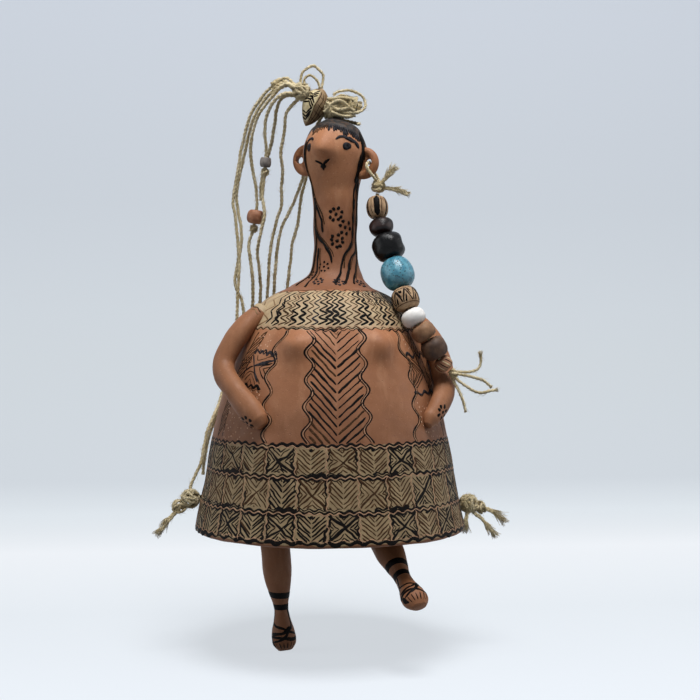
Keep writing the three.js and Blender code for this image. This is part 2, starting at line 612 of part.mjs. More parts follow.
function armGeometry(stations) {
  const places = stations.map((s) => around(s.angle, bellRadius(s.height) + s.standOff, s.height));
  const curve = new THREE.CatmullRomCurve3(places, false, 'centripetal');
  const steps = 16;
  const rings = Array.from({ length: steps + 1 }, (_, i) => {
    const share = (i / steps) * (stations.length - 1);
    const low = Math.min(stations.length - 2, Math.floor(share));
    const radius = THREE.MathUtils.lerp(stations[low].radius, stations[low + 1].radius, share - low);
    const centre = curve.getPoint(i / steps);
    const forward = curve.getTangent(i / steps);
    const outward = new THREE.Vector3(centre.x, centre.y, 0).normalize();
    outward.addScaledVector(forward, -outward.dot(forward)).normalize();
    const side = forward.clone().cross(outward);
    return Array.from({ length: LIMB_FACETS }, (_, j) => {
      const turn = (2 * Math.PI * j) / LIMB_FACETS;
      return centre.clone()
        .addScaledVector(side, radius * Math.cos(turn))
        .addScaledVector(outward, radius * ARM_FLATNESS * Math.sin(turn));
    });
  });
  return without(loft(rings, true), loft(bellOuterRings(SEAT_GAP), true));
}

add('left_arm', armGeometry(LEFT_ARM), CLAY);
add('right_arm', armGeometry(RIGHT_ARM), CLAY);

// The leg cord runs straight through both holes, and a knot outside the wall stops each end

function legCordHeight(x) {
  const share = (x + HEM_RADIUS) / (2 * HEM_RADIUS);
  return THREE.MathUtils.lerp(LEG_CORD_RIGHT_HEIGHT, LEG_CORD_LEFT_HEIGHT, share);
}

function hemKnotPlace(side) {
  const height = side > 0 ? LEG_CORD_LEFT_HEIGHT : LEG_CORD_RIGHT_HEIGHT;
  return new THREE.Vector3(side * (bellRadius(height) + 2 * SEAT_GAP + HEM_KNOT_RADIUS), 0, height);
}

const legCordEnds = [-1, 1].map((side) => {
  const end = hemKnotPlace(side);
  return end.setX(end.x - side * (HEM_KNOT_RADIUS + SEAT_GAP));
});
add('leg_cord', cordGeometry(new THREE.LineCurve3(...legCordEnds), LEG_CORD_DIAMETER), TWINE);
for (const [name, side] of [['left_hem_knot', 1], ['right_hem_knot', -1]]) {
  const knot = knotGeometry(HEM_KNOT_RADIUS, 3, 0.2).rotateZ(Math.PI / 2);
  add(name, knot, TWINE).position.copy(hemKnotPlace(side));
}

// The legs, each hung by a ring of twine that goes over the cord and through the eye

function legLoopGeometry() {
  const top = LEG_CORD_DIAMETER / 2 + 0.4 + LOOP_TWINE / 2;
  const side = LEG_LUG_THICK / 2 + 1.1 + LOOP_TWINE / 2;
  const bottom = 3;
  const points = [];
  for (let turn = 0; turn <= 180; turn += 45) {
    const at = radians(turn);
    points.push(new THREE.Vector3(0, top * Math.cos(at), top * Math.sin(at)));
  }
  for (let turn = 180; turn <= 360; turn += 30) {
    const at = radians(turn);
    points.push(new THREE.Vector3(0, side * Math.cos(at), bottom * (1 + Math.sin(at)) - LOOP_DROP));
  }
  return ringGeometry(points, new THREE.Vector3(1, 0, 0), LOOP_TWINE);
}

function legGeometry() {
  const wide = new THREE.SplineCurve(LEG_STATIONS.map((s) => new THREE.Vector2(s.wide, s.deep)));
  const line = new THREE.SplineCurve(LEG_STATIONS.map((s) => new THREE.Vector2(s.forward, s.down)));
  const steps = 2 * (LEG_STATIONS.length - 1);
  const rings = Array.from({ length: steps + 1 }, (_, i) => {
    const half = wide.getPoint(i / steps);
    const centre = line.getPoint(i / steps);
    return Array.from({ length: LIMB_FACETS }, (_, j) => {
      const turn = (2 * Math.PI * j) / LIMB_FACETS;
      return new THREE.Vector3(half.x * Math.cos(turn), half.y * Math.sin(turn) - centre.x, -centre.y);
    });
  });
  const eye = drill(new THREE.Vector3(), new THREE.Vector3(0, 1, 0), LEG_EYE_DIAMETER, 4 * LEG_LUG_THICK);
  return without(loft(rings, true), eye);
}

// A loop swings on the cord, and its leg splays in the loop.
function addLeg(side, place, swing, splay) {
  const hanger = new THREE.Group();
  hanger.position.set(place, 0, legCordHeight(place));
  hanger.rotation.x = -radians(swing);
  doll.add(hanger);
  hanger.add(add(`${side}_leg_loop`, legLoopGeometry(), TWINE));
  const leg = add(`${side}_leg`, legGeometry(), CLAY);
  leg.position.z = -LOOP_DROP;
  leg.rotation.y = -radians(splay);
  hanger.add(leg);
}

addLeg('left', LEFT_LEG_PLACE, LEFT_LEG_SWING, LEFT_LEG_SPLAY);
addLeg('right', RIGHT_LEG_PLACE, RIGHT_LEG_SWING, RIGHT_LEG_SPLAY);

// The hair: a bundle through the crown, a bead and a knot on it, and the bun beside it

const anchorTop = vec(HAIR_BUNDLE_ROUTE[0]);
add('hair_bundle', cordGeometry(routeOf(HAIR_BUNDLE_ROUTE), BUNDLE_DIAMETER), TWINE);
add('hair_anchor_knot', knotGeometry(ANCHOR_KNOT_RADIUS, 3, 0.15).rotateX(Math.PI / 2), TWINE)
  .position.set(HEAD_OFFSET, 0, anchorTop.z - SEAT_GAP - ANCHOR_KNOT_RADIUS);
add('ponytail_knot', knotGeometry(PONYTAIL_KNOT_RADIUS, 3, 0.15).rotateX(Math.PI / 3), TWINE)
  .position.set(...PONYTAIL_KNOT_PLACE);

// The almond bead has four soft edges, and the bundle passes through it from side to side.
function almondGeometry() {
  const [top, tip] = [vec(ALMOND_TOP), vec(ALMOND_TIP)];
  const axis = tip.clone().sub(top);
  const depth = new THREE.Vector3(0, 1, 0);
  const width = axis.clone().normalize().cross(depth);
  const rings = [];
  for (let i = 0; i <= 12; i++) {
    const share = (1 - Math.cos((Math.PI * (i + 0.4)) / 12.8)) / 2;
    const swell = Math.sin(Math.PI * share ** 0.8) ** 0.75;
    rings.push(Array.from({ length: 16 }, (_, j) => {
      const turn = (2 * Math.PI * j) / 16;
      const edge = 1 - 0.16 * Math.sin(2 * turn) ** 2;
      return top.clone().addScaledVector(axis, share)
        .addScaledVector(width, ALMOND_HALF_WIDTH * swell * edge * Math.cos(turn))
        .addScaledVector(depth, ALMOND_HALF_DEPTH * swell * edge * Math.sin(turn));
    }));
  }
  const bore = drill(
    vec(HAIR_BUNDLE_ROUTE.at(-2)),
    vec(HAIR_BUNDLE_ROUTE.at(-1)).sub(vec(HAIR_BUNDLE_ROUTE.at(-3))),
    CROWN_HOLE_DIAMETER,
    5 * ALMOND_HALF_WIDTH,
  );
  return without(loft(rings, true), bore);
}

add('topknot_bead', almondGeometry(), { color: 0xa8845f, roughness: 0.7 });

// The bun's winding is one unbroken tube. Its ends run straight down for one diameter.
function bunWinding() {
  const centres = [];
  const steps = BUN_LOOPS * LOOP_STEPS;
  for (let i = 0; i <= steps; i++) {
    const turn = (2 * Math.PI * i) / LOOP_STEPS;
    const along = BUN_START + (BUN_PITCH * i) / LOOP_STEPS;
    centres.push(new THREE.Vector3(
      along,
      -BUN_WINDING_RADIUS * Math.cos(turn),
      BUN_AXIS_HEIGHT + BUN_WINDING_RADIUS * Math.sin(turn),
    ));
  }
  const straight = new THREE.Vector3(0, 0, -HAIR_TWINE);
  return [centres[0].clone().add(straight), ...centres, centres.at(-1).clone().sub(straight)];
}

function windingGeometry(centres) {
  const axis = new THREE.Vector3(1, 0, 0);
  const rings = centres.map((centre, i) => {
    const [before, after] = [centres[Math.max(i - 1, 0)], centres[Math.min(i + 1, centres.length - 1)]];
    const along = after.clone().sub(before).normalize();
    const side = along.clone().cross(axis).normalize();
    const across = side.clone().cross(along);
    return Array.from({ length: LOOP_SIDES }, (_, j) => {
      const turn = (2 * Math.PI * j) / LOOP_SIDES;
      return centre.clone()
        .addScaledVector(side, (HAIR_TWINE / 2) * Math.cos(turn))
        .addScaledVector(across, (HAIR_TWINE / 2) * Math.sin(turn));
    });
  });
  return loft(rings, true);
}

// The least gap between a winding's turns, over every pair of centres at least half a turn apart.
function leastGap(centres) {
  let least = Infinity;
  for (let i = 0; i < centres.length; i++) {
    for (let j = i + LOOP_STEPS / 2; j < centres.length; j++) {
      least = Math.min(least, centres[i].distanceTo(centres[j]) - HAIR_TWINE);
    }
  }
  return least;
}

// The core fills the winding, and its inner end is shaped to the bundle and the bead.
function bunCoreGeometry() {
  const diameter = 2 * (BUN_WINDING_RADIUS - SEAT_GAP) - HAIR_TWINE;
  const line = new THREE.LineCurve3(
    new THREE.Vector3(BUN_CORE_START, 0, BUN_AXIS_HEIGHT),
    new THREE.Vector3(BUN_CORE_END, 0, BUN_AXIS_HEIGHT),
  );
  const bundle = cordGeometry(routeOf(HAIR_BUNDLE_ROUTE), BUNDLE_DIAMETER + 2 * SEAT_GAP);
  return without(cordGeometry(line, diameter), bundle);
}

const winding = bunWinding();
console.log(`topknot_winding: least gap to itself ${leastGap(winding).toFixed(2)} mm`);
add('topknot_winding', windingGeometry(winding), TWINE);
add('topknot_core', bunCoreGeometry(), TWINE);
add('topknot_loop', cordGeometry(routeOf(TOPKNOT_LOOP_ROUTE), TAIL_TWINE), TWINE);
add('topknot_lap', cordGeometry(routeOf(TOPKNOT_LAP_ROUTE), HAIR_TWINE), TWINE);
add('tall_loop', cordGeometry(routeOf(TALL_LOOP_ROUTE), TAIL_TWINE), TWINE);
add('small_loop', cordGeometry(routeOf(SMALL_LOOP_ROUTE), TAIL_TWINE), TWINE);

// The falling strands and the beads on them

const strandCurves = {};
for (const [name, route] of Object.entries(HAIR_STRANDS)) {
  strandCurves[name] = routeOf(route);
  add(name, cordGeometry(strandCurves[name], HAIR_TWINE), TWINE);
}

// Sets a piece on a curve at a distance along it, with its own Z along the curve.
function thread(mesh, curve, distance) {
  const share = distance / curve.getLength();
  const up = new THREE.Vector3(0, 0, 1);
  mesh.position.copy(curve.getPointAt(share));
  mesh.quaternion.setFromUnitVectors(up, curve.getTangentAt(share).negate());
}

const hairBore = HAIR_TWINE + 2 * HOLE_PLAY;
for (const bead of HAIR_BEADS) {
  const curve = strandCurves[bead.strand];
  const distance = bead.along * curve.getLength();
  const look = { color: bead.name.endsWith('grey') ? 0x77706c : 0x9c6a50 };
  const geometry = beadGeometry(bead.height, bead.radius, hairBore, bead.square);
  thread(add(bead.name, geometry, look), curve, distance);
  const knot = add(`${bead.name}_knot`, beadGeometry(HAIR_KNOT_HEIGHT, HAIR_KNOT_RADIUS, hairBore, 2), TWINE);
  thread(knot, curve, distance + (bead.height + HAIR_KNOT_HEIGHT) / 2 + BEAD_GAP);
}

// The bead string hangs from a loop through the left ear and lies on the shoulder

const stringCurve = routeOf(STRING_ROUTE);
stringCurve.arcLengthDivisions = 600;
const beadsLength = STRING_BEADS.reduce((sum, bead) => sum + bead.height + BEAD_GAP, 0);
const earKnotPlace = vec(STRING_ROUTE[0]);
const cordStart = EAR_KNOT_RADIUS + SEAT_GAP;
const beadsStart = cordStart + STRING_FREE_LENGTH;
const cordEnd = beadsStart + beadsLength + SEAT_GAP;
const endKnotDistance = cordEnd + SEAT_GAP + END_KNOT_RADIUS;

let beadTop = beadsStart;
STRING_BEADS.forEach((bead, i) => {
  const geometry = beadGeometry(bead.height, bead.radius, BEAD_TWINE + 2 * HOLE_PLAY + 0.4, bead.square);
  const look = { color: BEAD_COLOURS[i], roughness: i === 3 ? 0.25 : 0.7 };
  thread(add(bead.name, geometry, look), stringCurve, beadTop + bead.height / 2);
  beadTop += bead.height + BEAD_GAP;
});

// The stretch of a curve between two distances along it.
function stretch(curve, from, to, count) {
  const length = curve.getLength();
  return new THREE.CatmullRomCurve3(
    Array.from({ length: count + 1 }, (_, i) => {
      return curve.getPointAt((from + ((to - from) * i) / count) / length);
    }),
    false,
    'centripetal',
  );
}

add('bead_cord', cordGeometry(stretch(stringCurve, cordStart, cordEnd, 24), BEAD_TWINE), TWINE);
add('ear_knot', knotGeometry(EAR_KNOT_RADIUS, 3, 0.2).rotateX(Math.PI / 2), TWINE).position.copy(earKnotPlace);
add('end_knot', knotGeometry(END_KNOT_RADIUS, 3, 0.2), TWINE)
  .position.copy(stringCurve.getPointAt(Math.min(1, endKnotDistance / stringCurve.getLength())));

// The ear loop goes up one side of the ear, through its hole and down the other side to the knot.
function earLoopCurve() {
  const hole = earHole(LEFT_EAR_ANGLE, LEFT_EAR_HEIGHT);
  const through = around(LEFT_EAR_ANGLE + 90, 1, 0);
  const reach = EAR_THICK / 2 + 1.1 + LOOP_TWINE / 2;
  const at = (place, side, up) => {
    return place.clone().addScaledVector(through, side).add(new THREE.Vector3(0, 0, up));
  };
  const arch = [];
  for (let turn = 0; turn <= 180; turn += 22.5) {
    arch.push(at(hole, reach * Math.cos(radians(turn)), 2.4 * (Math.sin(radians(turn)) - 1)));
  }
  const beside = hole.clone().lerp(earKnotPlace, 0.5);
  const foot = 0.7 * EAR_KNOT_RADIUS;
  const top = EAR_KNOT_RADIUS + SEAT_GAP;
  return new THREE.CatmullRomCurve3([
    at(earKnotPlace, foot, top),
    at(beside, 1.05 * reach, 0),
    ...arch,
    at(beside, -1.05 * reach, 0),
    at(earKnotPlace, -foot, top),
  ], false, 'centripetal');
}

add('ear_loop', cordGeometry(earLoopCurve(), LOOP_TWINE), TWINE);
for (const [name, route] of Object.entries({ ...EAR_TAIL_ROUTES, ...END_TAIL_ROUTES, ...HEM_TAIL_ROUTES })) {
  add(name, cordGeometry(routeOf(route), TAIL_TWINE), TWINE);
}

export default doll;
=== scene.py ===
"""A bell doll of fired clay with painted slip, twine hair and a string of beads, dressed round its CAD frame.

Lengths in this script are millimetres until a mesh is made. +Z is up and the doll faces -Y. Angles round the
body are degrees from the front, positive towards the doll's left (+X).
"""

import json
import math

import bmesh
import bpy
import numpy as np
from mathutils import Euler, Matrix, Vector, noise
from mathutils.bvhtree import BVHTree


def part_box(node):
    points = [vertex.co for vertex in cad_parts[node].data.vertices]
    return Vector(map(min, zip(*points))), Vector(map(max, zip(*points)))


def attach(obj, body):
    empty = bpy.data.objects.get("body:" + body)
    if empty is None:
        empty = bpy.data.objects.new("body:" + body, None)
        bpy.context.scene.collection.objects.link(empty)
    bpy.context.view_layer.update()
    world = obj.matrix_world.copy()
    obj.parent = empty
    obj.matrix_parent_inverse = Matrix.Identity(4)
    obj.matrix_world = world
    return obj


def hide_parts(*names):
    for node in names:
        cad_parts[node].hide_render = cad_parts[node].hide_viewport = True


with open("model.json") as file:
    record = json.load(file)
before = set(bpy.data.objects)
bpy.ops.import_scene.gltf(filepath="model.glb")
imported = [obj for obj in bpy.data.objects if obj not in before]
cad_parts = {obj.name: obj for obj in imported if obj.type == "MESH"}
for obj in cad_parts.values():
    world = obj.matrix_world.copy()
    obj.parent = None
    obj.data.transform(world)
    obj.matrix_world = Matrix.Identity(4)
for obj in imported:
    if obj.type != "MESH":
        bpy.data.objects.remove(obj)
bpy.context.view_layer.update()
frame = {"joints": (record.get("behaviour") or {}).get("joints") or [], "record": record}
MM = 0.001
rng = np.random.default_rng(11)
noise.seed_set(11)  # it would start from the clock
ROOT = "doll"


def unit(v):
    return v / np.maximum(np.linalg.norm(v, axis=-1, keepdims=True), 1e-9)


def add_object(name, data):
    thing = bpy.data.objects.new(name, data)
    bpy.context.scene.collection.objects.link(thing)
    return thing


# Camera

CAMERA_DISTANCE = 600
CAMERA_AZIMUTH = -5
CAMERA_HEIGHT = 88.5
CAMERA_ASIDE = 10
FOCAL_PIXELS = 1200
IMAGE_PIXELS = 700
SENSOR = 36
CLIP_START = 0.01  # in metres


def make_camera():
    turn = math.radians(CAMERA_AZIMUTH)
    right = Vector((math.cos(turn), math.sin(turn), 0))
    forward = Vector((-math.sin(turn), math.cos(turn), 0))
    data = bpy.data.cameras.new("camera")
    data.sensor_width = SENSOR
    data.lens = SENSOR * FOCAL_PIXELS / IMAGE_PIXELS
    data.clip_start = CLIP_START
    camera = add_object("camera", data)
    camera.location = (CAMERA_ASIDE * right - CAMERA_DISTANCE * forward + Vector((0, 0, CAMERA_HEIGHT))) * MM
    camera.rotation_euler = (math.pi / 2, 0, turn)
    bpy.context.scene.camera = camera


make_camera()

# Materials


def rgb(red, green, blue):
    """A colour as it looks on a screen, as Blender's linear colour."""
    return (*(((c / 255 + 0.055) / 1.055) ** 2.4 for c in (red, green, blue)), 1.0)


class Nodes:
    """A node tree built socket by socket."""

    def __init__(self, tree):
        self.nodes = tree.nodes
        self.links = tree.links

    def put(self, socket, value):
        if isinstance(value, bpy.types.NodeSocket):
            self.links.new(value, socket)
        else:
            socket.default_value = value

    def add(self, kind, inputs=(), **settings):
        node = self.nodes.new(kind)
        for key, value in settings.items():
            setattr(node, key, value)
        for key, value in dict(inputs).items():
            self.put(node.inputs[key], value)
        return node

    def math(self, operation, *values, clamp=False):
        return self.add("ShaderNodeMath", enumerate(values), operation=operation, use_clamp=clamp).outputs[0]

    def plus(self, *values, **settings):
        return self.math("ADD", *values, **settings)

    def times(self, *values):
        return self.math("MULTIPLY", *values)

    def ramp(self, value, low, high, at_low=0.0, at_high=1.0):
        inputs = {"Value": value, "From Min": low, "From Max": high, "To Min": at_low, "To Max": at_high}
        return self.add("ShaderNodeMapRange", inputs).outputs[0]

    def seen_directly(self):
        """1 for what the camera sees straight, in gloss or through glass, 0 for light on the object."""
        path = self.add("ShaderNodeLightPath").outputs
        seen = self.plus(path["Is Camera Ray"], path["Is Glossy Ray"], clamp=True)
        return self.plus(seen, path["Is Transmission Ray"], clamp=True)


class Surface(Nodes):
    """A node material. Its sizes are millimetres and its colours are given as they look on a screen."""

    def __init__(self, name):
        self.material = bpy.data.materials.new(name)
        self.material.use_nodes = True
        super().__init__(self.material.node_tree)
        self.shader = self.nodes["Principled BSDF"]
        self.place = self.add("ShaderNodeTexCoord").outputs["Object"]

    def xyz(self):
        return self.add("ShaderNodeSeparateXYZ", {0: self.place}).outputs[:3]

    def noise(self, size, detail=4, stretch=None, distortion=0.0):
        """Noise whose blotches are about size across."""
        place = self.place
        if stretch:
            place = self.add("ShaderNodeMapping", {"Vector": place, "Scale": stretch}).outputs[0]
        inputs = {"Vector": place, "Scale": 1 / (size * MM), "Detail": detail, "Distortion": distortion}
        return self.add("ShaderNodeTexNoise", inputs).outputs[0]

    def cloud(self, size, detail, low, high, at_low=0.0, at_high=1.0, **options):
        """Noise, with what lies between low and high spread from at_low to at_high."""
        return self.ramp(self.noise(size, detail, **options), low, high, at_low, at_high)

    def spots(self, size, reach):
        """1 in small round spots about size apart, 0 between them."""
        cells = self.add("ShaderNodeTexVoronoi", {"Vector": self.place, "Scale": 1 / (size * MM)})
        return self.ramp(cells.outputs["Distance"], reach * 0.6, reach, 1, 0)

    def mix(self, share, low, high):
        low, high = (rgb(*colour) if isinstance(colour, tuple) else colour for colour in (low, high))
        return self.add("ShaderNodeMix", {0: share, 6: low, 7: high}, data_type="RGBA").outputs[2]

    def patches(self, under, over, size, detail, low, high, share=1.0, **options):
        """A colour with clouds of another over it."""
        return self.mix(self.cloud(size, detail, low, high, 0, share, **options), under, over)

    def shade(self, inputs):
        for key, value in inputs.items():
            self.put(self.shader.inputs[key], value)
        return self.material

    def finish(self, colour, roughness, height, depth, inputs):
        """Sets the shader. The height's full range stands for a depth."""
        bump = self.add("ShaderNodeBump", {"Strength": 1.0, "Distance": depth * MM, "Height": height})
        return self.shade({"Base Color": colour, "Roughness": roughness, "Normal": bump.outputs[0], **inputs})


CLAY_FLECKS = (120, 78, 54)
TERRACOTTA = ((148, 97, 64), (164, 111, 76), (194, 142, 106))
GLAZE_PITS = (38, 60, 66)
JUTE = ((190, 171, 126), (230, 214, 174), (112, 90, 56))
SHADE_CHANGE_WANDER = 7  # how far up and down the change from painted shade to painted light wanders


def clay_colour(s, dark, mid, light):
    colour = s.patches(dark, mid, 24, 4, 0.34, 0.66)
    colour = s.patches(colour, light, 7, 4, 0.52, 0.76, 0.45, stretch=(1, 1, 0.35), distortion=0.5)
    colour = s.patches(colour, CLAY_FLECKS, 1.1, 4, 0.56, 0.78, 0.4)
    return s.mix(s.times(s.spots(1.9, 0.2), 0.3), colour, light)


def clay_height(s):
    grain = s.times(s.noise(0.5, 4), 0.5)
    burnish = s.times(s.noise(3.2, 3, stretch=(1, 1, 0.3)), 0.5)
    pits = s.times(s.spots(2.7, 0.14), -0.6)
    return s.plus(s.plus(grain, burnish), pits)


def clay_material(name, slips=(), tones=TERRACOTTA, lit_upper_tones=None, change=(0, 1)):
    """Burnished terracotta. Each slip is a function of the surface that gives a mask and a colour.

    Where tones for the top are given, the clay turns to them between the two heights of the change: painted
    shade below and painted light above, as the light falls from above."""
    s = Surface(name)
    colour = clay_colour(s, *tones)
    # Painted light and shade: lighter tones above the change, darker ones below it.
    if lit_upper_tones:
        height = s.plus(s.xyz()[2], s.cloud(14, 3, 0.3, 0.7, -SHADE_CHANGE_WANDER * MM, SHADE_CHANGE_WANDER * MM))
        share = s.ramp(height, change[0] * MM, change[1] * MM)
        colour = s.mix(share, colour, clay_colour(s, *lit_upper_tones))
    for slip in slips:
        mask, coat = slip(s)
        colour = s.mix(mask, colour, coat)
    roughness = s.cloud(5, 3, 0.3, 0.7, 0.5, 0.66)
    return s.finish(colour, roughness, clay_height(s), 0.2, {"Specular IOR Level": 0.3})


def slip_material(name, dark, light, wear, worn):
    """Slip brushed on clay, thin in places."""
    s = Surface(name)
    colour = s.patches(s.patches(dark, light, 1.6, 4, 0.35, 0.7), worn, 0.9, 4, 0.52, 0.72, wear)
    roughness = s.cloud(2, 3, 0.3, 0.7, 0.45, 0.62)
    return s.finish(colour, roughness, s.noise(0.5, 4), 0.08, {"Specular IOR Level": 0.06})


def bead_material(name, dark, light, roughness=(0.5, 0.7), depth=0.15, pits=0.0, coat=0.0, gloss=0.3):
    s = Surface(name)
    colour = s.patches(dark, light, 3.2, 5, 0.35, 0.68)
    height = s.times(s.noise(0.8, 4), 0.6)
    if pits:
        hole = s.spots(1.25, 0.3)
        colour = s.mix(s.times(hole, pits), colour, GLAZE_PITS)
        height = s.math("SUBTRACT", height, hole)
    else:
        height = s.plus(height, s.times(s.noise(3, 3), 0.7))
    return s.finish(colour, s.cloud(2.5, 3, 0.3, 0.7, *roughness), height, depth,
                    {"Coat Weight": coat, "Coat Roughness": 0.12, "Specular IOR Level": gloss})


def twine_material():
    dark, light, flecks = JUTE
    s = Surface("jute_twine")
    colour = s.patches(dark, light, 6, 4, 0.35, 0.65)
    colour = s.patches(colour, flecks, 0.45, 4, 0.5, 0.74, 0.65, distortion=1.0)
    fibres = s.noise(0.3, 4, distortion=2.0)
    return s.finish(colour, s.ramp(fibres, 0.3, 0.7, 0.75, 0.95), fibres, 0.3, {"Sheen Weight": 0.25})


TWINE = twine_material()

# Meshes


def make_mesh(name, points, faces, material, body=ROOT, nodes=(), slot="terracotta", place=None):
    """A smooth piece that rides on a body and stands for CAD nodes. Points are millimetres."""
    points = np.asarray(points, float)
    mesh = bpy.data.meshes.new(name)
    mesh.from_pydata((points * MM).tolist(), [], faces)
    mesh.materials.append(material)
    mesh.shade_smooth()
    piece = add_object(name, mesh)
    if place is not None:
        mesh.transform(place)
    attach(piece, body)
    if nodes:
        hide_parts(*nodes)
    return piece


def face_out(piece):
    """Joins points that meet and turns the faces outward."""
    work = bmesh.new()
    work.from_mesh(piece.data)
    bmesh.ops.remove_doubles(work, verts=work.verts, dist=1e-7)
    bmesh.ops.recalc_face_normals(work, faces=work.faces)
    work.to_mesh(piece.data)
    work.free()
    return piece


def grid_faces(rows, columns, first=0, closed=True, caps=True):
    """Faces of a tube made of rows of points. A tube that isn't closed on itself gets flat caps."""
    faces = []
    for i in range(rows if not caps and closed else rows - 1):
        low, high = first + i * columns, first + ((i + 1) % rows) * columns
        for j in range(columns):
            k = (j + 1) % columns
            faces.append((low + j, low + k, high + k, high + j))
    if caps:
        faces.append(tuple(first + j for j in reversed(range(columns))))
        faces.append(tuple(first + (rows - 1) * columns + j for j in range(columns)))
    return faces


def loft(name, rings, material, caps=True, **where):
    """A piece whose skin runs through rings of points."""
    faces = grid_faces(*rings.shape[:2], caps=caps)
    return face_out(make_mesh(name, rings.reshape(-1, 3), faces, material, **where))


def aimed(place, direction):
    """The matrix that sets a thing at a place and turns its upright along a direction."""
    turn = Vector((0, 0, 1)).rotation_difference(Vector(direction))
    return Matrix.Translation(Vector(place)) @ turn.to_matrix().to_4x4()


def cut(piece, *drills):
    """Cuts straight round holes: each drill is a place, a direction, a diameter and a length."""
    for place, direction, diameter, length in drills:
        bpy.ops.mesh.primitive_cylinder_add(vertices=24, radius=diameter / 2 * MM, depth=length * MM)
        tool = bpy.context.object
        tool.data.transform(aimed(Vector(place) * MM, direction))
        step = piece.modifiers.new("hole", "BOOLEAN")
        step.operation = "DIFFERENCE"
        step.solver = "EXACT"
        step.object = tool
        bpy.context.view_layer.objects.active = piece
        bpy.ops.object.modifier_apply(modifier=step.name)
        bpy.data.objects.remove(tool)
    piece.data.shade_smooth()
    return piece


def rough_up(points, amount, size, seed=0.0):
    """Moves points along a smooth random field, as uneven hand work does."""
    start = Vector((seed, seed, seed))
    shift = [noise.noise_vector(Vector(p) / size + start) for p in points.reshape(-1, 3)]
    return points + amount * np.array(shift).reshape(points.shape)


# Curves


def catmull(points, samples=24):
    """A centripetal Catmull-Rom curve through points, as the CAD's routes run."""
    p = np.asarray(points, float)
    p = np.vstack([2 * p[0] - p[1], p, 2 * p[-1] - p[-2]])
    t = np.linspace(0, 1, samples, endpoint=False)[:, None]
    out = []
    for a, b, c, d in zip(p, p[1:], p[2:], p[3:]):
        ab, bc, cd = (max(np.linalg.norm(q) ** 0.5, 1e-4) for q in (b - a, c - b, d - c))
        start = ((b - a) / ab - (c - a) / (ab + bc) + (c - b) / bc) * bc
        end = ((c - b) / bc - (d - b) / (bc + cd) + (d - c) / cd) * bc
        out.append(b + start * t + (3 * (c - b) - 2 * start - end) * t**2
                   + (2 * (b - c) + start + end) * t**3)
    return np.vstack([*out, p[-2]])


def distances(points):
    """How far along a line its points are."""
    return np.r_[0, np.cumsum(np.linalg.norm(np.diff(points, axis=0), axis=1))]


def between(at, known, rows):
    """Rows of numbers between those that are known."""
    return np.stack([np.interp(at, known, column) for column in np.transpose(rows)], axis=-1)


def spaced(points, step):
    """The same line with its points about a step apart."""
    along = distances(points)
    count = max(2, round(along[-1] / step) + 1)
    return between(np.linspace(0, along[-1], count), along, points)


def line_length(points):
    return float(np.linalg.norm(np.diff(points, axis=0), axis=1).sum())


def uniform_spline(knots, samples):
    """A uniform Catmull-Rom curve, as the CAD's outlines run."""
    k = np.asarray(knots, float)
    k = np.vstack([k[0], k, k[-1]])
    at = np.linspace(0, len(k) - 3, samples)
    i = np.minimum(at.astype(int), len(k) - 4)
    t = (at - i)[:, None]
    a, b, c, d = k[i], k[i + 1], k[i + 2], k[i + 3]
    u, v = (c - a) / 2, (d - b) / 2
    return (2 * b - 2 * c + u + v) * t**3 + (-3 * b + 3 * c - 2 * u - v) * t**2 + u * t + b


def frames(points, closed=False):
    """Tangents and two cross directions that don't twist along a line."""
    tangent = unit(np.gradient(points, axis=0))
    if closed:
        tangent = unit(np.roll(points, -1, axis=0) - np.roll(points, 1, axis=0))
    side = np.cross(tangent[0], (0.3, 0.2, 1.0) if abs(tangent[0][2]) < 0.8 else (1.0, 0.2, 0.1))
    sides = []
    for t in tangent:
        side = unit(side - t * np.dot(side, t))
        sides.append(side)
    sides = np.array(sides)
    return tangent, sides, np.cross(tangent, sides)


# Twine

TWIST = 4.4  # millimetres of twine to one turn of its two plies
TWINE_STEP = 0.5
TWINE_SIDES = 12
TWINE_SWELL = 0.1
PLY_WAIST = 0.6  # the twine's radius between its plies, as a share of its full one
PLY_LOBE = 0.43  # what a ply adds to that
FIBRE_REACH = 2.4
FIBRE_LENGTHS = (1.2, 4.0)
FIBRE_RADIUS = 0.075
FRAY_RADIUS = 0.15
FIBRE_CORNERS = (0, 2.1, 4.2)  # of its section, in radians


def tube(line, radius, turns, side, across):
    """Rings of points round a line, at angles from the first of its cross directions."""
    out = np.cos(turns)[..., None] * side[:, None] + np.sin(turns)[..., None] * across[:, None]
    return line[:, None] + radius[..., None] * out


def twine_tube(points, diameter, closed, twist):
    """Rings of a two-ply twine along a line: two round plies that turn about each other."""
    _, side, across = frames(points, closed)
    along = np.arange(len(points)) * line_length(points) / max(len(points) - 1, 1)
    if closed:
        twist = along[-1] / max(1, round(along[-1] / twist))
    phase = 2 * np.pi * along[:, None] / twist + rng.uniform(0, 6)
    turn = 2 * np.pi * np.arange(TWINE_SIDES)[None, :] / TWINE_SIDES
    swell = 1 + TWINE_SWELL * np.interp(along, along[::8], rng.uniform(-1, 1, len(along[::8])))[:, None]
    radius = diameter / 2 * swell * (PLY_WAIST + PLY_LOBE * np.abs(np.cos(turn - phase)) ** 0.9)
    return tube(points, radius, turn, side, across)


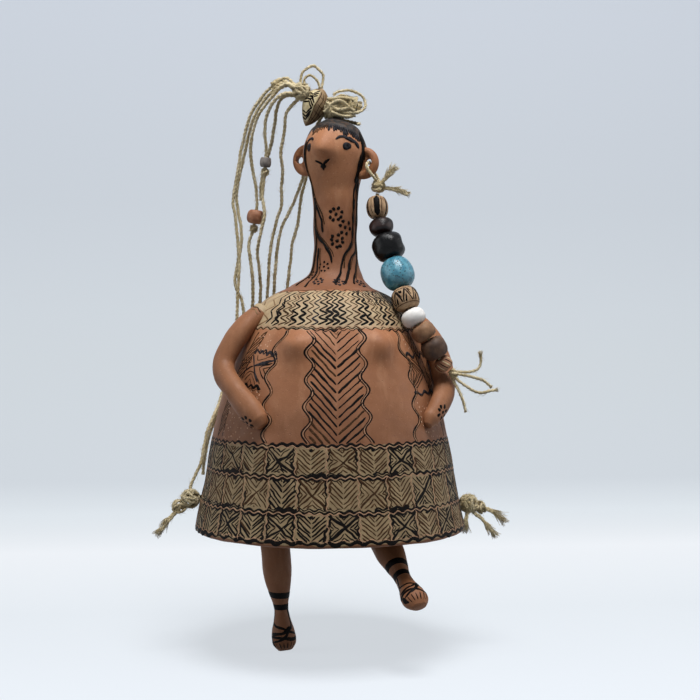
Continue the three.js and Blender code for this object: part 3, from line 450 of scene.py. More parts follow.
def fuzz(points, diameter, per_mm, reach):
    """Stray fibres: thin bent hairs that leave the twine at a slant."""
    tangent, side, across = frames(points)
    t = np.linspace(0, 1, 5)[:, None]
    hairs = []
    for _ in range(int(line_length(points) * per_mm)):
        i = rng.integers(0, len(points))
        turn = rng.uniform(0, 2 * np.pi)
        out = np.cos(turn) * side[i] + np.sin(turn) * across[i]
        ahead = tangent[i] * rng.choice((-1, 1))
        length = rng.uniform(*FIBRE_LENGTHS)
        rise = min(reach, length * rng.uniform(0.2, 0.7))
        curl = np.cross(ahead, out) * rng.uniform(-0.4, 0.4)
        start = points[i] + out * diameter * 0.36
        hair = start + ahead * length * t + out * rise * t**1.4 + curl * rise * np.sin(2.4 * t)
        if np.linalg.norm(points - hair[-1], axis=1).min() <= FIBRE_REACH:
            hairs.append(tube(hair, FIBRE_RADIUS * (1 - 0.5 * t), FIBRE_CORNERS, *frames(hair)[1:]))
    return hairs


def fray_end(bundle, line, diameter, length, count):
    """Loose fibres that fan out from the last point of a line."""
    tangent, side, across = (rows[-1] for rows in frames(line))
    t = np.linspace(0, 1, 7)[:, None]
    for _ in range(count):
        turn = rng.uniform(0, 2 * np.pi)
        out = np.cos(turn) * side + np.sin(turn) * across
        spread = rng.uniform(0.05, 0.5)
        reach = length * rng.uniform(0.5, 1)
        start = line[-1] - tangent * 1.5 + out * diameter * 0.25
        bend = np.cross(tangent, out) * rng.uniform(-0.25, 0.25)
        hair = start + reach * (tangent * t + out * spread * t**1.5 + bend * np.sin(3 * t))
        bundle.add(tube(hair, FRAY_RADIUS * (1 - 0.5 * t), FIBRE_CORNERS, *frames(hair)[1:]))


class Bundle:
    """Tubes gathered into one mesh."""

    def __init__(self):
        self.points = []
        self.faces = []
        self.count = 0

    def add(self, rings, closed=False):
        rows, columns = rings.shape[:2]
        self.faces += grid_faces(rows, columns, self.count, closed=closed, caps=not closed)
        self.points.append(rings.reshape(-1, 3))
        self.count += rows * columns

    def twine(self, route, diameter, hairs=0.5, reach=1.3, wobble=0.25, closed=False, twist=TWIST):
        line = spaced(route, TWINE_STEP)
        line = line[:-1] if closed else rough_up(line, wobble, 4.5, rng.uniform(0, 40))
        self.add(twine_tube(line, diameter, closed, twist), closed)
        for hair in fuzz(line, diameter, hairs, reach):
            self.add(hair)
        return line

    def make(self, name, material, **where):
        return make_mesh(name, np.vstack(self.points), self.faces, material, **where)

    def make_twine(self, node, body=ROOT):
        """The bundle as the twine that stands for a CAD node."""
        return self.make(f"{node}_twine", TWINE, body=body, nodes=[node], slot="twine")


HAIR_TWINE = 1.8
TAIL_TWINE = 1.5
BEAD_TWINE = 1.8
LOOP_TWINE = 1.6
LEG_CORD = 2.2

# The route, far end and name of each falling strand.
HAIR_STRANDS = {
    "hair_strand_1": [
        (-17.4, 0.4, 220.7), (-21.5, 1, 224.3), (-26, 2.5, 222.6), (-32.5, 5, 217), (-39.5, 8, 207),
        (-42, 10, 199), (-44.5, 12, 188.5), (-46.2, 13, 177.5), (-48, 14, 167.5), (-48.3, 14.5, 163),
        (-47, 15, 155), (-46, 15.5, 142.5), (-45.2, 16, 130.5), (-46, 16.5, 118), (-46.3, 17, 108),
        (-47.2, 18.5, 97), (-48.8, 20, 86), (-51.8, 18.5, 73), (-55.6, 14.5, 61.5), (-58.6, 11, 54),
        (-61.4, 8.5, 47), (-62.8, 6.5, 40), (-64, 4.5, 33), (-67, 2.5, 26.5), (-69.3, 1, 20.6),
        (-69.2, 0.6, 17.4),
    ],
    "hair_strand_2": [
        (-17.5, 2.8, 218.7), (-22, 5.5, 222), (-30.5, 9.5, 217.5), (-37.5, 13.5, 207.5),
        (-40.5, 16.5, 198.5), (-42.5, 19, 189.5), (-45, 21, 178.5), (-46.8, 22, 168.5), (-46, 22, 160.5),
        (-44.5, 21.5, 153), (-44.3, 21, 143), (-46.6, 21, 130.5), (-47.4, 21, 122), (-44, 21.5, 114),
        (-43, 22.5, 105), (-45, 24, 93.5), (-49.5, 22.6, 75.5), (-54, 18.6, 61.5), (-57.6, 15, 53),
        (-61, 11.5, 43), (-62.5, 9.5, 35), (-63.5, 8.5, 26),
    ],
    "hair_strand_3": [
        (-17.7, -2.5, 218.6), (-22.6, -2.4, 220.4), (-29.2, 1.5, 214.5), (-35.5, 5, 206.5),
        (-38.5, 7.5, 197.5), (-39.5, 10, 188), (-38.2, 12, 179), (-36.6, 13, 169), (-36.3, 13.6, 162),
        (-37, 14, 156.5), (-38.2, 14.5, 149.5), (-40.4, 15, 142.5), (-39.4, 16, 133.5),
        (-38.4, 17, 124.5), (-38.4, 20, 114), (-39, 23.5, 105),
    ],
    "hair_strand_4": [
        (-17.8, -1.9, 215.6), (-22.6, -2.5, 216), (-27.4, -1.5, 212.6), (-31, 1, 207), (-32.4, 4, 198.5),
        (-31.7, 6.6, 190), (-32, 8, 183), (-32.6, 9, 175.5), (-33.6, 9, 167), (-32.6, 8.8, 157),
        (-34.6, 10, 147), (-36, 12.6, 138.5), (-35.2, 16, 130.5), (-34.4, 20, 122), (-34.8, 25, 112),
    ],
    "hair_strand_5": [
        (-17.7, 2, 215.6), (-21.4, 4.2, 216.2), (-24.8, 6.4, 214), (-26.6, 8.4, 209), (-27.2, 10.4, 204),
        (-28.4, 12.4, 196), (-29.8, 13.8, 190), (-32, 15, 183), (-34, 16.4, 174), (-34.2, 17.6, 165),
    ],
    "hair_strand_6": [
        (-15.4, 0.3, 215.6),
        (-16.2, 0.5, 213.5), (-18.6, 0.6, 211), (-21.6, 1.4, 207), (-22.6, 3.6, 198.5), (-24.4, 6, 187),
        (-23.4, 8.4, 179.5), (-24, 10.6, 170.5), (-23.8, 12.6, 162.5), (-26, 14.4, 155),
        (-29, 16.4, 142.5), (-30.2, 18, 130.5), (-30.6, 21, 121.5), (-31, 24, 113.6),
    ],
    "hair_strand_7": [
        (-1.4, 2.7, 208.7), (-2.6, 6.2, 208), (-4.8, 9.4, 205), (-7, 12.8, 200.5), (-9.4, 15.6, 193.5),
        (-11.2, 18.4, 186), (-12.6, 19.6, 177.5), (-15.4, 19.6, 169), (-20, 19.4, 159),
        (-23.4, 19.6, 152), (-25.4, 20.2, 143), (-26.4, 21.4, 133.5), (-27, 22.4, 125.5),
        (-27.4, 25, 117.2),
    ],
    "hair_strand_8": [
        (0.8, 2.8, 206.9), (0.6, 5.8, 206.6), (-0.6, 10, 204.4), (-4, 15.4, 200), (-7, 18.8, 193),
        (-9.4, 21.8, 184), (-11.4, 22.8, 175), (-13.4, 22.8, 167.5), (-14.2, 22.6, 160.5),
        (-15.6, 22.6, 152), (-18, 22.8, 143), (-19, 23, 133.5), (-20, 23.4, 125.5), (-20.6, 24.6, 119),
    ],
}


def free_cord(name, route, diameter, body=ROOT, hairs=1.1):
    """A cord of twine that stands for its CAD node."""
    bundle = Bundle()
    line = bundle.twine(route, diameter, hairs=hairs, reach=1.7)
    bundle.make_twine(name, body)
    line_length(line) * MM


for strand, route in HAIR_STRANDS.items():
    free_cord(strand, catmull(route), HAIR_TWINE)


def slanted_ring(radius):
    """A closed ring about the origin at a random slant, a little out of its plane."""
    t = np.linspace(0, 2 * np.pi, 90, endpoint=False)
    ring = radius * np.stack([np.cos(t), np.sin(t), 0.34 * np.sin(2 * t + rng.uniform(0, 6))], axis=1)
    tilt = np.array(Matrix.Rotation(rng.uniform(0, 6), 3, Vector(unit(rng.normal(0, 1, 3)))))
    return ring @ tilt.T


CURL_RADII = (2.2, 2.5, 2.8, 3.2)


def twine_piece(node, route, diameter, body=ROOT, fray=0, tufts=(), strands=1, curl=None, **options):
    """A stretch of twine too short to be a free cord.

    Its end is frayed for a length, and tufts stand out at shares of its way. A second strand may lie
    beside it, and loose loops curl round a point."""
    bundle = Bundle()
    line = bundle.twine(route, diameter, **options)
    for strand in range(1, strands):
        beside = 0.7 * diameter * np.array((0.3, -0.5, (-1) ** strand))
        growing = np.linspace(0.4, 1, len(route))[:, None]
        bundle.twine(np.asarray(route) + beside * growing, diameter, **options)
    for radius in CURL_RADII if curl else ():
        ring = slanted_ring(radius)
        bundle.twine(np.vstack([ring, ring[:1]]) + curl, 1.3, hairs=2, reach=2.4, closed=True, twist=3.2)
    for share in tufts:
        fray_end(bundle, line[: max(5, int(share * len(line)))], diameter, 1.4 * fray, 48)
    if fray:
        fray_end(bundle, line, diameter, fray, round(22 + 8 * fray))
    return bundle.make_twine(node, body)


def body_of(node):
    """The knots and tails at the two ends of the bead string swing with it."""
    return "bead_string" if node.startswith(("ear_", "end_")) else ROOT


def knot(node, centre, radius, turn):
    """A round knot: twine that goes three times through itself, pulled tight. A big one is wound over."""
    t = np.linspace(0, 2 * np.pi, 90, endpoint=False)
    line = 0.235 * radius * np.stack([
        (2 + np.cos(3 * t)) * np.cos(2 * t), (2 + np.cos(3 * t)) * np.sin(2 * t), 2.1 * np.sin(3 * t),
    ], axis=1)
    wrap = 0.66 * radius * np.stack([np.cos(t), 0.2 * np.sin(2 * t), np.sin(t)], axis=1)
    if radius > BIG_KNOT:
        paths = [(line, 0.36)] + [(slanted_ring(0.8 * radius), 1.4 / radius) for _ in range(8)]
    else:
        paths = [(line, 0.62), (wrap, 0.5)]
    spin = np.array(Euler([math.radians(angle) for angle in turn]).to_matrix())
    bundle = Bundle()
    for path, thick in paths:
        closed = np.vstack([path, path[:1]]) @ spin.T + np.asarray(centre, float)
        bundle.twine(closed, thick * radius, hairs=1.8, reach=2.0, closed=True, twist=2.4 * thick * radius)
    return bundle.make_twine(node, body_of(node))


# The bead string: its route, and the stretch of it that the cord between the two knots takes.
STRING_ROUTE = [
    (23.3, -8, 169.5), (22.8, -8.7, 164.5), (22.7, -9.8, 158.5), (24.4, -12, 149), (27.5, -15.4, 139),
    (31.3, -20.8, 125.5), (34.5, -25.7, 113), (38, -28.8, 104), (42.6, -30, 97.3), (47.8, -30, 89.5),
    (52.3, -29.4, 82), (57, -28.4, 77.6), (60.2, -27.8, 75.4),
]
CORD_START = 3.7
CORD_END = 101.7
BIG_KNOT = 4
EAR_KNOT = (23.3, -8, 169.5)
# The middle, radius and turn of each knot.
KNOTS = {
    "ponytail_knot": ((-14.2, 0, 217.5), 4.9, (60, 0, 20)),
    "ear_knot": (EAR_KNOT, 3.7, (80, 20, 0)),
    "end_knot": ((57.456, -28.31, 77.246), 2.6, (30, 50, 0)),
    "left_hem_knot": ((70.05, 0, 11), 5.2, (20, 80, 0)),
    "right_hem_knot": ((-69.2, 0, 15), 5.2, (70, 60, 30)),
    "hair_anchor_knot": ((2.6, 0, 196.2), 3.3, (0, 0, 0)),
}
# How much of its end is frayed, and the route of each tail.
TAILS = {
    "ear_tail_1": (4.5, (24.6, -9.6, 171), (25.3, -10.2, 172), (28, -11.2, 175), (30.4, -11, 177.4)),
    "ear_tail_2": (3.5, (25.6, -8.6, 169.2), (26.9, -8.8, 168.9), (31, -9.2, 168.3), (34.4, -9.2, 167.2),
                   (37.6, -9, 166)),
    "end_tail_1": (3.5, (58.6, -27.6, 77.8), (60.1, -27, 78), (65, -26.4, 78), (69.6, -25.6, 79.2),
                   (71.3, -25.4, 82.4), (71.2, -25.4, 86.5)),
    "end_tail_2": (2, (58.8, -29, 77.1), (60.3, -29.6, 76.8), (66.4, -28.8, 75.6), (72.2, -27, 73.8),
                   (76.4, -26, 70.6)),
    "end_tail_3": (2.5, (58, -29, 75.8), (59, -29.6, 74.7), (63.6, -30.4, 71), (69, -30.2, 68.2),
                   (78.4, -29.6, 69.4)),
    "end_tail_4": (1.5, (57.3, -28.3, 75.4), (57.3, -28.3, 74.1), (60, -30, 68.6), (61.8, -30.8, 63.8),
                   (63, -31.2, 58.8)),
    "left_hem_tail_1": (6, (73.4, 0, 10.2), (75.2, -0.4, 9.6), (78, -1.2, 9), (82, -1.8, 7.6), (86, -2.6, 4)),
    "left_hem_tail_2": (5.5, (71.4, -1, 8.4), (72.4, -1.6, 7), (76, -3, 4.2), (79, -4, 0.4),
                        (81.4, -4.6, -2.6)),
    "left_hem_tail_3": (6, (69.2, -1.8, 7.8), (68.8, -2.2, 6.4), (68.2, -3, 4), (67.8, -3.4, 0.6)),
    "right_hem_tail": (6, (-71.6, -0.5, 13.4), (-72.9, -0.9, 12.2), (-76.4, -1.8, 9.2), (-80.2, -2.6, 5),
                       (-83.6, -3.4, 0.4)),
}
TUFTS = {"ear": (0.5, 0.75), "left_hem": (0.7,), "right_hem": (0.7,)}
CURLS = {"left_hem_tail_1": (75.8, -0.6, 9), "right_hem_tail": (-74.6, -1, 11.2)}

whole_string = catmull(STRING_ROUTE)
string_route = between(np.arange(CORD_START, CORD_END, TWINE_STEP), distances(whole_string), whole_string)
free_cord("bead_cord", string_route, BEAD_TWINE, body="bead_string", hairs=0.3)
free_cord("leg_cord", [(-64.4, 0, 15), (65.2, 0, 11)], LEG_CORD)
for knot_name, row in KNOTS.items():
    knot(knot_name, *row)
for tail, (fray, *route) in TAILS.items():
    kind = tail.split("_tail")[0]
    twine_piece(tail, catmull(route), TAIL_TWINE, body_of(tail), fray, TUFTS.get(kind, ()),
                1 if kind == "end" else 2, CURLS.get(tail), hairs=1.4)

# The topknot

BUN_HEIGHT = 211
BUN_START = 2.6
BUN_PITCH = 2.4
BUN_LOOPS = 5
BUN_WRAPS = 19
BUN_ENDS = (-2.6, 12.6)
# How far the loose turns reach from the bun's middle, along it.
BUN_REACH = ((-2.6, 0, 3, 6, 9.6, 12.6), (3.2, 4.7, 4.3, 5, 4.9, 3.4))
BUN_STRANDS = (
    ((-3.4, -3.6, 206.6), (3.4, -6, 212), (11.5, -4.6, 207.6)),
    ((-2.4, -4, 211.4), (4.6, -6.1, 207.4), (12.6, -3.4, 211.6)),
    ((-1.4, -3.2, 213.2), (5.4, -5.6, 213.4), (12, -4, 213)),
    ((0.4, -5.4, 206.4), (6, -5.6, 204.8), (12.4, -3.6, 204.8)),
    ((-1, 3, 206.6), (5.4, 2.2, 216.2), (12, -1.4, 213.6)),
)
BUNDLE_ROUTE = (
    (2.6, 0, 199.8), (2.6, 0, 204.2), (1.7, 0, 206.4), (-1.2, 0, 208.4), (-6.4, 0, 212), (-10.9, 0, 215.3),
)
# The diameter and route of each loop of twine at the topknot.
LOOPS = {
    "topknot_loop": (
        TAIL_TWINE, (1.6, -1.8, 215.4), (3, -2.2, 216.7), (5.4, -2.4, 217.5), (8.7, -2.4, 218),
        (12, -2.4, 217.3), (15.2, -2.2, 215.8), (17.2, -2, 213), (17.4, -2.6, 210), (15, -4.2, 207.2),
        (10.2, -4.6, 206.4), (5.6, -4.6, 206.6)),
    "topknot_lap": (
        HAIR_TWINE, (5, 4.4, 204.9), (9.4, 5.2, 203.9), (12.8, 3.4, 202.8), (14.3, 0, 201.8),
        (14.3, -3.6, 201), (13.5, -6.4, 200.3)),
    "tall_loop": (
        TAIL_TWINE, (-14.4, 0.6, 220.4), (-14.6, 0.6, 224.5), (-13.6, 0.6, 227.2), (-11.2, 0.6, 229.4),
        (-8.2, 0.6, 230.5), (-5.4, 0.6, 228.6), (-3.4, 0.6, 226.2), (-3.6, 0.6, 223.4), (-4, 0.6, 219.4)),
    "small_loop": (
        TAIL_TWINE, (-12.8, -1.8, 220.2), (-12.8, -2, 223.6), (-10.4, -2.2, 225.1), (-8, -2.2, 224),
        (-6.2, -2, 222), (-5.3, -1.8, 218.8)),
}


def wobbly(turn, two, three):
    """A round outline's radius, uneven by chance."""
    return 1 + two * np.sin(2 * turn + rng.uniform(0, 6)) + three * np.sin(3 * turn + rng.uniform(0, 6))


def bun_winding():
    """The twine wound round the bun's core: two swellings with a waist between them."""
    turn = np.linspace(0, 2 * np.pi * BUN_LOOPS, 60 * BUN_LOOPS)
    along = BUN_START + BUN_PITCH * turn / (2 * np.pi)
    middle = BUN_START + BUN_PITCH * BUN_LOOPS / 2
    radius = 3.5 + 0.35 * np.cos(2 * np.pi * (along - middle) / 7.5 + math.pi) + 0.15 * np.sin(2.3 * turn)
    slant = 0.5 * np.sin(turn + 0.6)
    line = np.stack([along + slant, -radius * np.cos(turn), BUN_HEIGHT + radius * np.sin(turn)], axis=1)
    ends = np.array([(0, 0, -HAIR_TWINE)])
    return np.vstack([line[0] + ends, line, line[-1] + ends])


def bun_wraps(bundle):
    """Loose turns of twine over the winding, each at its own slant, that make the bun lumpy."""
    turn = np.linspace(0, 2 * np.pi, 60)
    for along in np.linspace(*BUN_ENDS, BUN_WRAPS):
        reach = np.interp(along, *BUN_REACH) + rng.normal(0, 0.15)
        reach_at = reach * wobbly(turn, 0.06, 0.05)
        slant = rng.uniform(-0.3, 0.3)
        middle = np.interp(along, BUN_ENDS, (208.6, 210.6))
        ring = np.stack([along + slant * reach * np.sin(turn), reach_at * np.cos(turn),
                         middle + reach_at * np.sin(turn)], axis=1)
        bundle.twine(ring, rng.uniform(1.3, 1.7), hairs=1.2, reach=1.8, closed=True, twist=3.2)
    for strand in BUN_STRANDS:
        bundle.twine(catmull(strand), 1.6, hairs=1.6, reach=1.8, wobble=0.5, twist=3.4)


def topknot():
    winding = Bundle()
    winding.twine(bun_winding(), 2.0, hairs=0.8, wobble=0.1)
    bun_wraps(winding)
    winding.make_twine("topknot_winding")
    core = Bundle()
    t = np.linspace(0, 1, 40)
    for ply in range(3):
        turn = 2 * np.pi * (1.3 * t + ply / 3)
        ply_line = [0.8 + 15 * t, 1.15 * np.cos(turn), BUN_HEIGHT + 1.15 * np.sin(turn)]
        core.twine(np.stack(ply_line, axis=1), 2.1)
    core.make_twine("topknot_core")
    bundle = Bundle()
    line = spaced(catmull(BUNDLE_ROUTE), 0.6)
    _, side, across = frames(line)
    for ply in range(4):
        turn = 2 * np.pi * (np.linspace(0, 1.2, len(line)) + ply / 4)
        bundle.twine(line + 1.1 * (np.cos(turn)[:, None] * side + np.sin(turn)[:, None] * across), 2.0)
    bundle.make_twine("hair_bundle")
    for name, (diameter, *route) in LOOPS.items():
        twine_piece(name, catmull(route), diameter, hairs=0.6)
    tie = Bundle()
    for sway in (-1, 0, 1):
        tie.twine(catmull([(-8.6, 1.4 * sway, 214.6 + sway), (-14, -1.2 * sway - 1.6, 217.4 - 1.6 * sway),
                           (-19, 1.8 * sway, 220.4 + sway), (-24.6, 1.6 - 1.4 * sway, 221.4 - 2.2 * sway),
                           (-29, 3 + sway, 218.6 - 2.4 * sway)]), 2.6, hairs=1.2, wobble=0.4)
    tie.make("ponytail_tie_twine", TWINE, slot="twine")


topknot()

# Clay: the bell

BELL_WALL = 4.5
BELL_COLUMNS = 264
BELL_LUMPS = ((0.45, 17, 3), (0.12, 5, 9))  # the lumps' height, their size and a seed
BELL_HOLES = [((side * 66, 0, height), (1, 0, 0), 3.2, 16) for side, height in ((1, 11), (-1, 15))]
BAND_TOP = 45.2
COLLAR_FOOT = 98.5
COLLAR_TOP = 119.5
COLLAR_PAINT_TOP = 116.8
BREASTS = (26, -23)  # their angles
BREAST_HEIGHT = 92.6
BREAST_REACH = 5.0
HEM_EDGE = [(0, 66), (0.35, 66.6), (0.9, 66.95)]  # its height and radius where the rim is rounded
HEM_INSIDE = (0, 62.9)
BELL_OUTLINE = uniform_spline([
    (67, 1.5), (62.8, 21.5), (58.7, 45.2), (53.2, 68), (46, 92), (38.6, 107), (30, 115), (19.5, COLLAR_TOP),
], 161)


def bell_radius(height):
    return np.interp(height, BELL_OUTLINE[:, 1], BELL_OUTLINE[:, 0])


def bell_swell(angle, height):
    across = np.radians(angle - np.where(angle > 0, *BREASTS)) * bell_radius(height) / 7.5
    along = (height - BREAST_HEIGHT) / np.where(height > BREAST_HEIGHT, 5.4, 8)
    return BREAST_REACH * np.exp(-(across**2) - along**2)


def around(angle, radius, height, offset=0.0):
    """Points round an upright axis."""
    turn = np.radians(angle)
    return np.stack([offset + radius * np.sin(turn), -radius * np.cos(turn), height + 0 * turn], axis=-1)


def bell_point(angle, height):
    """A point of the bell's painted surface."""
    return around(angle, bell_radius(height) + bell_swell(angle, height), height)


def slip_band(s, foot, top, ragged, cover):
    """Where slip lies between two heights: each is given by where it begins and ends to change."""
    size, reach, *cover_at = *ragged, *cover
    edge = s.plus(s.xyz()[2], s.cloud(size, 2, 0.3, 0.7, -reach * MM, reach * MM))
    inside = s.times(s.ramp(edge, foot[0] * MM, foot[1] * MM), s.ramp(edge, top[0] * MM, top[1] * MM, 1, 0))
    return s.times(inside, s.cloud(cover_at[0], 4, 0.3, 0.5, *cover_at[1:]))


def edge_at(height):
    return height - 0.2, height + 0.2


def khaki_band(s):
    """Khaki slip on the skirt, rubbed thin here and there."""
    tone = s.patches((128, 109, 80), (152, 132, 99), 6, 4, 0.35, 0.65)
    return (slip_band(s, (1.4, 1.9), edge_at(BAND_TOP), (5, 0.6), (3.5, 0.8, 0.98)),
            s.patches(tone, (98, 79, 54), 1.0, 3, 0.5, 0.75, 0.4))


def cream(s):
    return s.patches((158, 137, 106), (186, 166, 132), 5, 4, 0.35, 0.65)


def cream_collar(s):
    """Cream slip on the shoulders."""
    return (slip_band(s, edge_at(COLLAR_FOOT), edge_at(COLLAR_PAINT_TOP), (4, 0.7), (3, 0.72, 0.95)),
            s.patches(cream(s), (138, 110, 80), 0.9, 3, 0.5, 0.75, 0.35))


CLAY = clay_material("terracotta")
# Painted shade and light: the clay darker on the lower bell and lighter on the shoulders, from 44 to 104 mm
# up, as the light falls from above.
CLAY_BELL = clay_material(
    "terracotta_slipped", [khaki_band, cream_collar], ((110, 70, 45), (124, 81, 54), (150, 105, 76)),
    ((158, 104, 70), (176, 120, 84), (204, 152, 116)), (44, 104))


def make_bell():
    heights = np.r_[np.arange(1.5, 104, 1.2), np.linspace(104, COLLAR_TOP, 22)]
    outer = HEM_EDGE + [(z, bell_radius(z)) for z in heights]
    inner = [(z, bell_radius(z) - BELL_WALL) for z in np.r_[COLLAR_TOP, 114, np.arange(108, 0, -6), 0.6]]
    angle = 360 * np.arange(BELL_COLUMNS) / BELL_COLUMNS - 180
    rings = np.array([around(angle, radius + (bell_swell(angle, height) if row < len(outer) else 0), height)
                      for row, (height, radius) in enumerate([*outer, *inner, HEM_INSIDE])])
    bumpy = rings
    for lumps in BELL_LUMPS:
        bumpy = rough_up(bumpy, *lumps)
    hold = np.clip((COLLAR_TOP - rings[..., 2:]) / 3, 0, 1)
    bell = loft("bell_body_clay", rings + (bumpy - rings) * hold, CLAY_BELL, caps=False, nodes=["bell_body"])
    return cut(bell, *BELL_HOLES)


BELL = make_bell()

# Clay: the neck and the head

HEAD_OFFSET = 2.6
HEAD_WALL = 3.8
HEAD_TOP = 204.4
FACE_YAW = -26
HEAD_COLUMNS = 168
HEAD_LUMPS = (0.35, 9, 21)
HEAD_FOOT = 116.8  # where the neck begins, inside the bell's top
HEAD_INSIDE = (198.5, 196.5, 191, 186, 177, 168, 150, 138, 127, 123, 119.5)
HAIRLINE_HEIGHT = 187.5
HAIRLINE_SLOPE = 0.8
NOSE_HEIGHT = 186.4
NOSE_REACH = 4.4
CROWN_HOLE = 2.7
HEAD_OUTLINE = uniform_spline([
    (19.5, COLLAR_TOP), (13, 127), (10.75, 138.5), (10.75, 150), (11.6, 168), (16.2, 186), (13.2, 196.5),
    (9.1, 201), (CROWN_HOLE, HEAD_TOP),
], 161)


def head_radius(height):
    return np.interp(height, HEAD_OUTLINE[:, 1], HEAD_OUTLINE[:, 0])


def neck_foot(height):
    """How far the neck spreads where it meets the shoulders, so that one runs into the other."""
    return 1.2 * np.exp(-(((height - COLLAR_TOP - 0.6) / 2.3) ** 2))


def head_swell(angle, height):
    """The nose."""
    across = np.radians(angle - FACE_YAW) * 16.2 / 5
    along = (height - NOSE_HEIGHT) / np.where(height > NOSE_HEIGHT, 8.25, 4.4)
    return NOSE_REACH * np.exp(-(across**2) - along**2)


def neck_offset(height):
    t = np.clip((height - COLLAR_TOP) / (127 - COLLAR_TOP), 0, 1)
    return HEAD_OFFSET * t * t * (3 - 2 * t)


def head_point(angle, height):
    """A point of the painted surface of the neck and the head."""
    radius = np.where(height < COLLAR_TOP, bell_radius(height), head_radius(height)) + neck_foot(height)
    return around(angle, radius + head_swell(angle, height), height, neck_offset(height))


def hair_cap(s):
    """Black slip over the crown and the back of the head, brushed down in strokes at its edge."""
    x, y, z = s.xyz()
    face = (math.sin(math.radians(FACE_YAW)), -math.cos(math.radians(FACE_YAW)))
    ahead = s.plus(s.times(s.math("SUBTRACT", x, HEAD_OFFSET * MM), face[0]), s.times(y, face[1]))
    strokes = s.cloud(1.1, 3, 0.35, 0.65, -1.6 * MM, 1.6 * MM, stretch=(1, 1, 0.12))
    hairline = s.plus(s.times(ahead, HAIRLINE_SLOPE), HAIRLINE_HEIGHT * MM)
    above = s.plus(s.math("SUBTRACT", z, hairline), strokes)
    mask = s.times(s.ramp(above, -0.15 * MM, 0.25 * MM), s.cloud(1.5, 5, 0.28, 0.5, 0.8, 1))
    return mask, s.patches((16, 15, 15), (54, 51, 49), 2.5, 4, 0.4, 0.7)


# Painted shade and light: the neck darker, in the head's shade, and the face and crown lighter, from 146 to
# 174 mm up.
CLAY_HEAD = clay_material(
    "terracotta_hair_cap", [hair_cap], ((118, 74, 48), (130, 84, 56), (156, 108, 78)),
    ((162, 108, 74), (181, 125, 88), (208, 159, 122)), (146, 174))


def make_head():
    angle = 360 * np.arange(HEAD_COLUMNS) / HEAD_COLUMNS - 180
    outer = np.r_[117.4, 117.9, 118.5, np.arange(119, 200, 0.9), np.linspace(200, HEAD_TOP - 0.5, 7),
                  HEAD_TOP - 0.12]
    rings = [around(angle, bell_radius(HEAD_FOOT) - 0.6, HEAD_FOOT)]
    rings += [head_point(angle, z) for z in outer]
    inner = [(HEAD_TOP, CROWN_HOLE + 0.5), (HEAD_TOP - 0.4, CROWN_HOLE), (HEAD_TOP - HEAD_WALL, CROWN_HOLE)]
    inner += [(z, head_radius(z) - HEAD_WALL) for z in HEAD_INSIDE]
    rings += [around(angle, radius, z, neck_offset(z)) for z, radius in inner]
    rings = np.array(rings)
    hold = np.clip((rings[..., 2:] - COLLAR_TOP) / 4, 0, 1)
    rings = rings + (rough_up(rings, *HEAD_LUMPS) - rings) * hold
    return loft("neck_and_head_clay", rings, CLAY_HEAD, caps=False, nodes=["neck_and_head"])


HEAD = make_head()

# Clay: the ears

EAR_TALL = 16.6
EAR_HOLE = 3.6
EAR_VOXELS = (0.3, 0.28)
# Angle round the head, height and reach.
EARS = {"left_ear": (FACE_YAW + 90, 181.2, 8.4), "right_ear": (FACE_YAW - 90, 184.4, 7.4)}


def ear_hole(angle, height):
    """The middle of the hole through an ear."""
    return around(angle, head_radius(height) + 2.9, np.float64(height), HEAD_OFFSET)


def remesh(piece, voxel, smooth):
    """Melts the parts of a piece into one skin, as wet clay is smoothed together."""
    step = piece.modifiers.new("melt", "REMESH")
    step.mode = "VOXEL"
    step.voxel_size = voxel * MM
    ease = piece.modifiers.new("ease", "SMOOTH")
    ease.factor = 0.5
    ease.iterations = smooth
    bpy.context.view_layer.objects.active = piece
    for step in ("melt", "ease"):
        bpy.ops.object.modifier_apply(modifier=step)
    piece.data.shade_smooth()


def make_ear(name):
    """A cupped ear: a thick rim, thinner clay inside it, and a hole."""
    angle, height, reach = EARS[name]
    radial = around(angle, 1.0, np.float64(0))
    up, aside = np.array((0, 0, 1.0)), np.cross(radial, (0, 0, 1.0))
    foot = np.array((HEAD_OFFSET, 0, height)) + radial * head_radius(height)
    turn = np.radians(np.linspace(-104, 104, 48))[:, None]
    thick = 2.05 + 0.3 * np.cos(1.3 * turn + 0.5)
    rim = foot + radial * ((reach - 2.2) * np.cos(turn) - 0.6) + up * (EAR_TALL / 2 - 2.2) * np.sin(turn)
    bundle = Bundle()
    _, side, across = frames(rim)
    spin = 2 * np.pi * np.arange(18) / 18
    bundle.add(tube(rim, thick, spin, side, across))
    arc = np.radians(np.linspace(-180, 180, 36, endpoint=False))[:, None]
    out = np.where(np.cos(arc) > 0, reach - 1.6, 2.4)
    plate = foot + radial * out * np.cos(arc) + up * (EAR_TALL / 2 - 1.6) * np.sin(arc)
    bundle.add(np.array([plate + aside * offset for offset in (-1.0, 0.7)]))
    ear = bundle.make(f"{name}_clay", CLAY, nodes=[name])
    remesh(face_out(ear), EAR_VOXELS[0], 2)
    cut(ear, (ear_hole(angle, height), aside, EAR_HOLE, 12))
    remesh(ear, EAR_VOXELS[1], 3)


for ear_name in EARS:
    make_ear(ear_name)

# Clay: the arms

# Stations from the shoulder to the fingertips: height, angle, distance from the bell and radius.
ARMS = {
    "left_arm": [(107, 73, -2, 6), (95, 75, 4.9, 6.35), (76, 72, 6.1, 6.6), (66, 62, 5.6, 5.9),
                 (60, 55, 3.8, 5.3), (56, 50, 2.3, 4.4), (53, 47.5, 1.6, 2.3)],
    "right_arm": [(107, -66, -2, 6), (98, -65, 4.9, 6.1), (81, -66, 8, 6), (68.5, -52, 5.8, 5.7),
                  (60, -42, 3.6, 6), (55.8, -38, 2.4, 5), (53.3, -36, 1.8, 2.4)],
}
ARM_FLATNESS = 0.85
ARM_LUMPS = (0.35, 8, 5)
ARM_TONES = ((132, 86, 56), (150, 101, 69), (182, 132, 98))
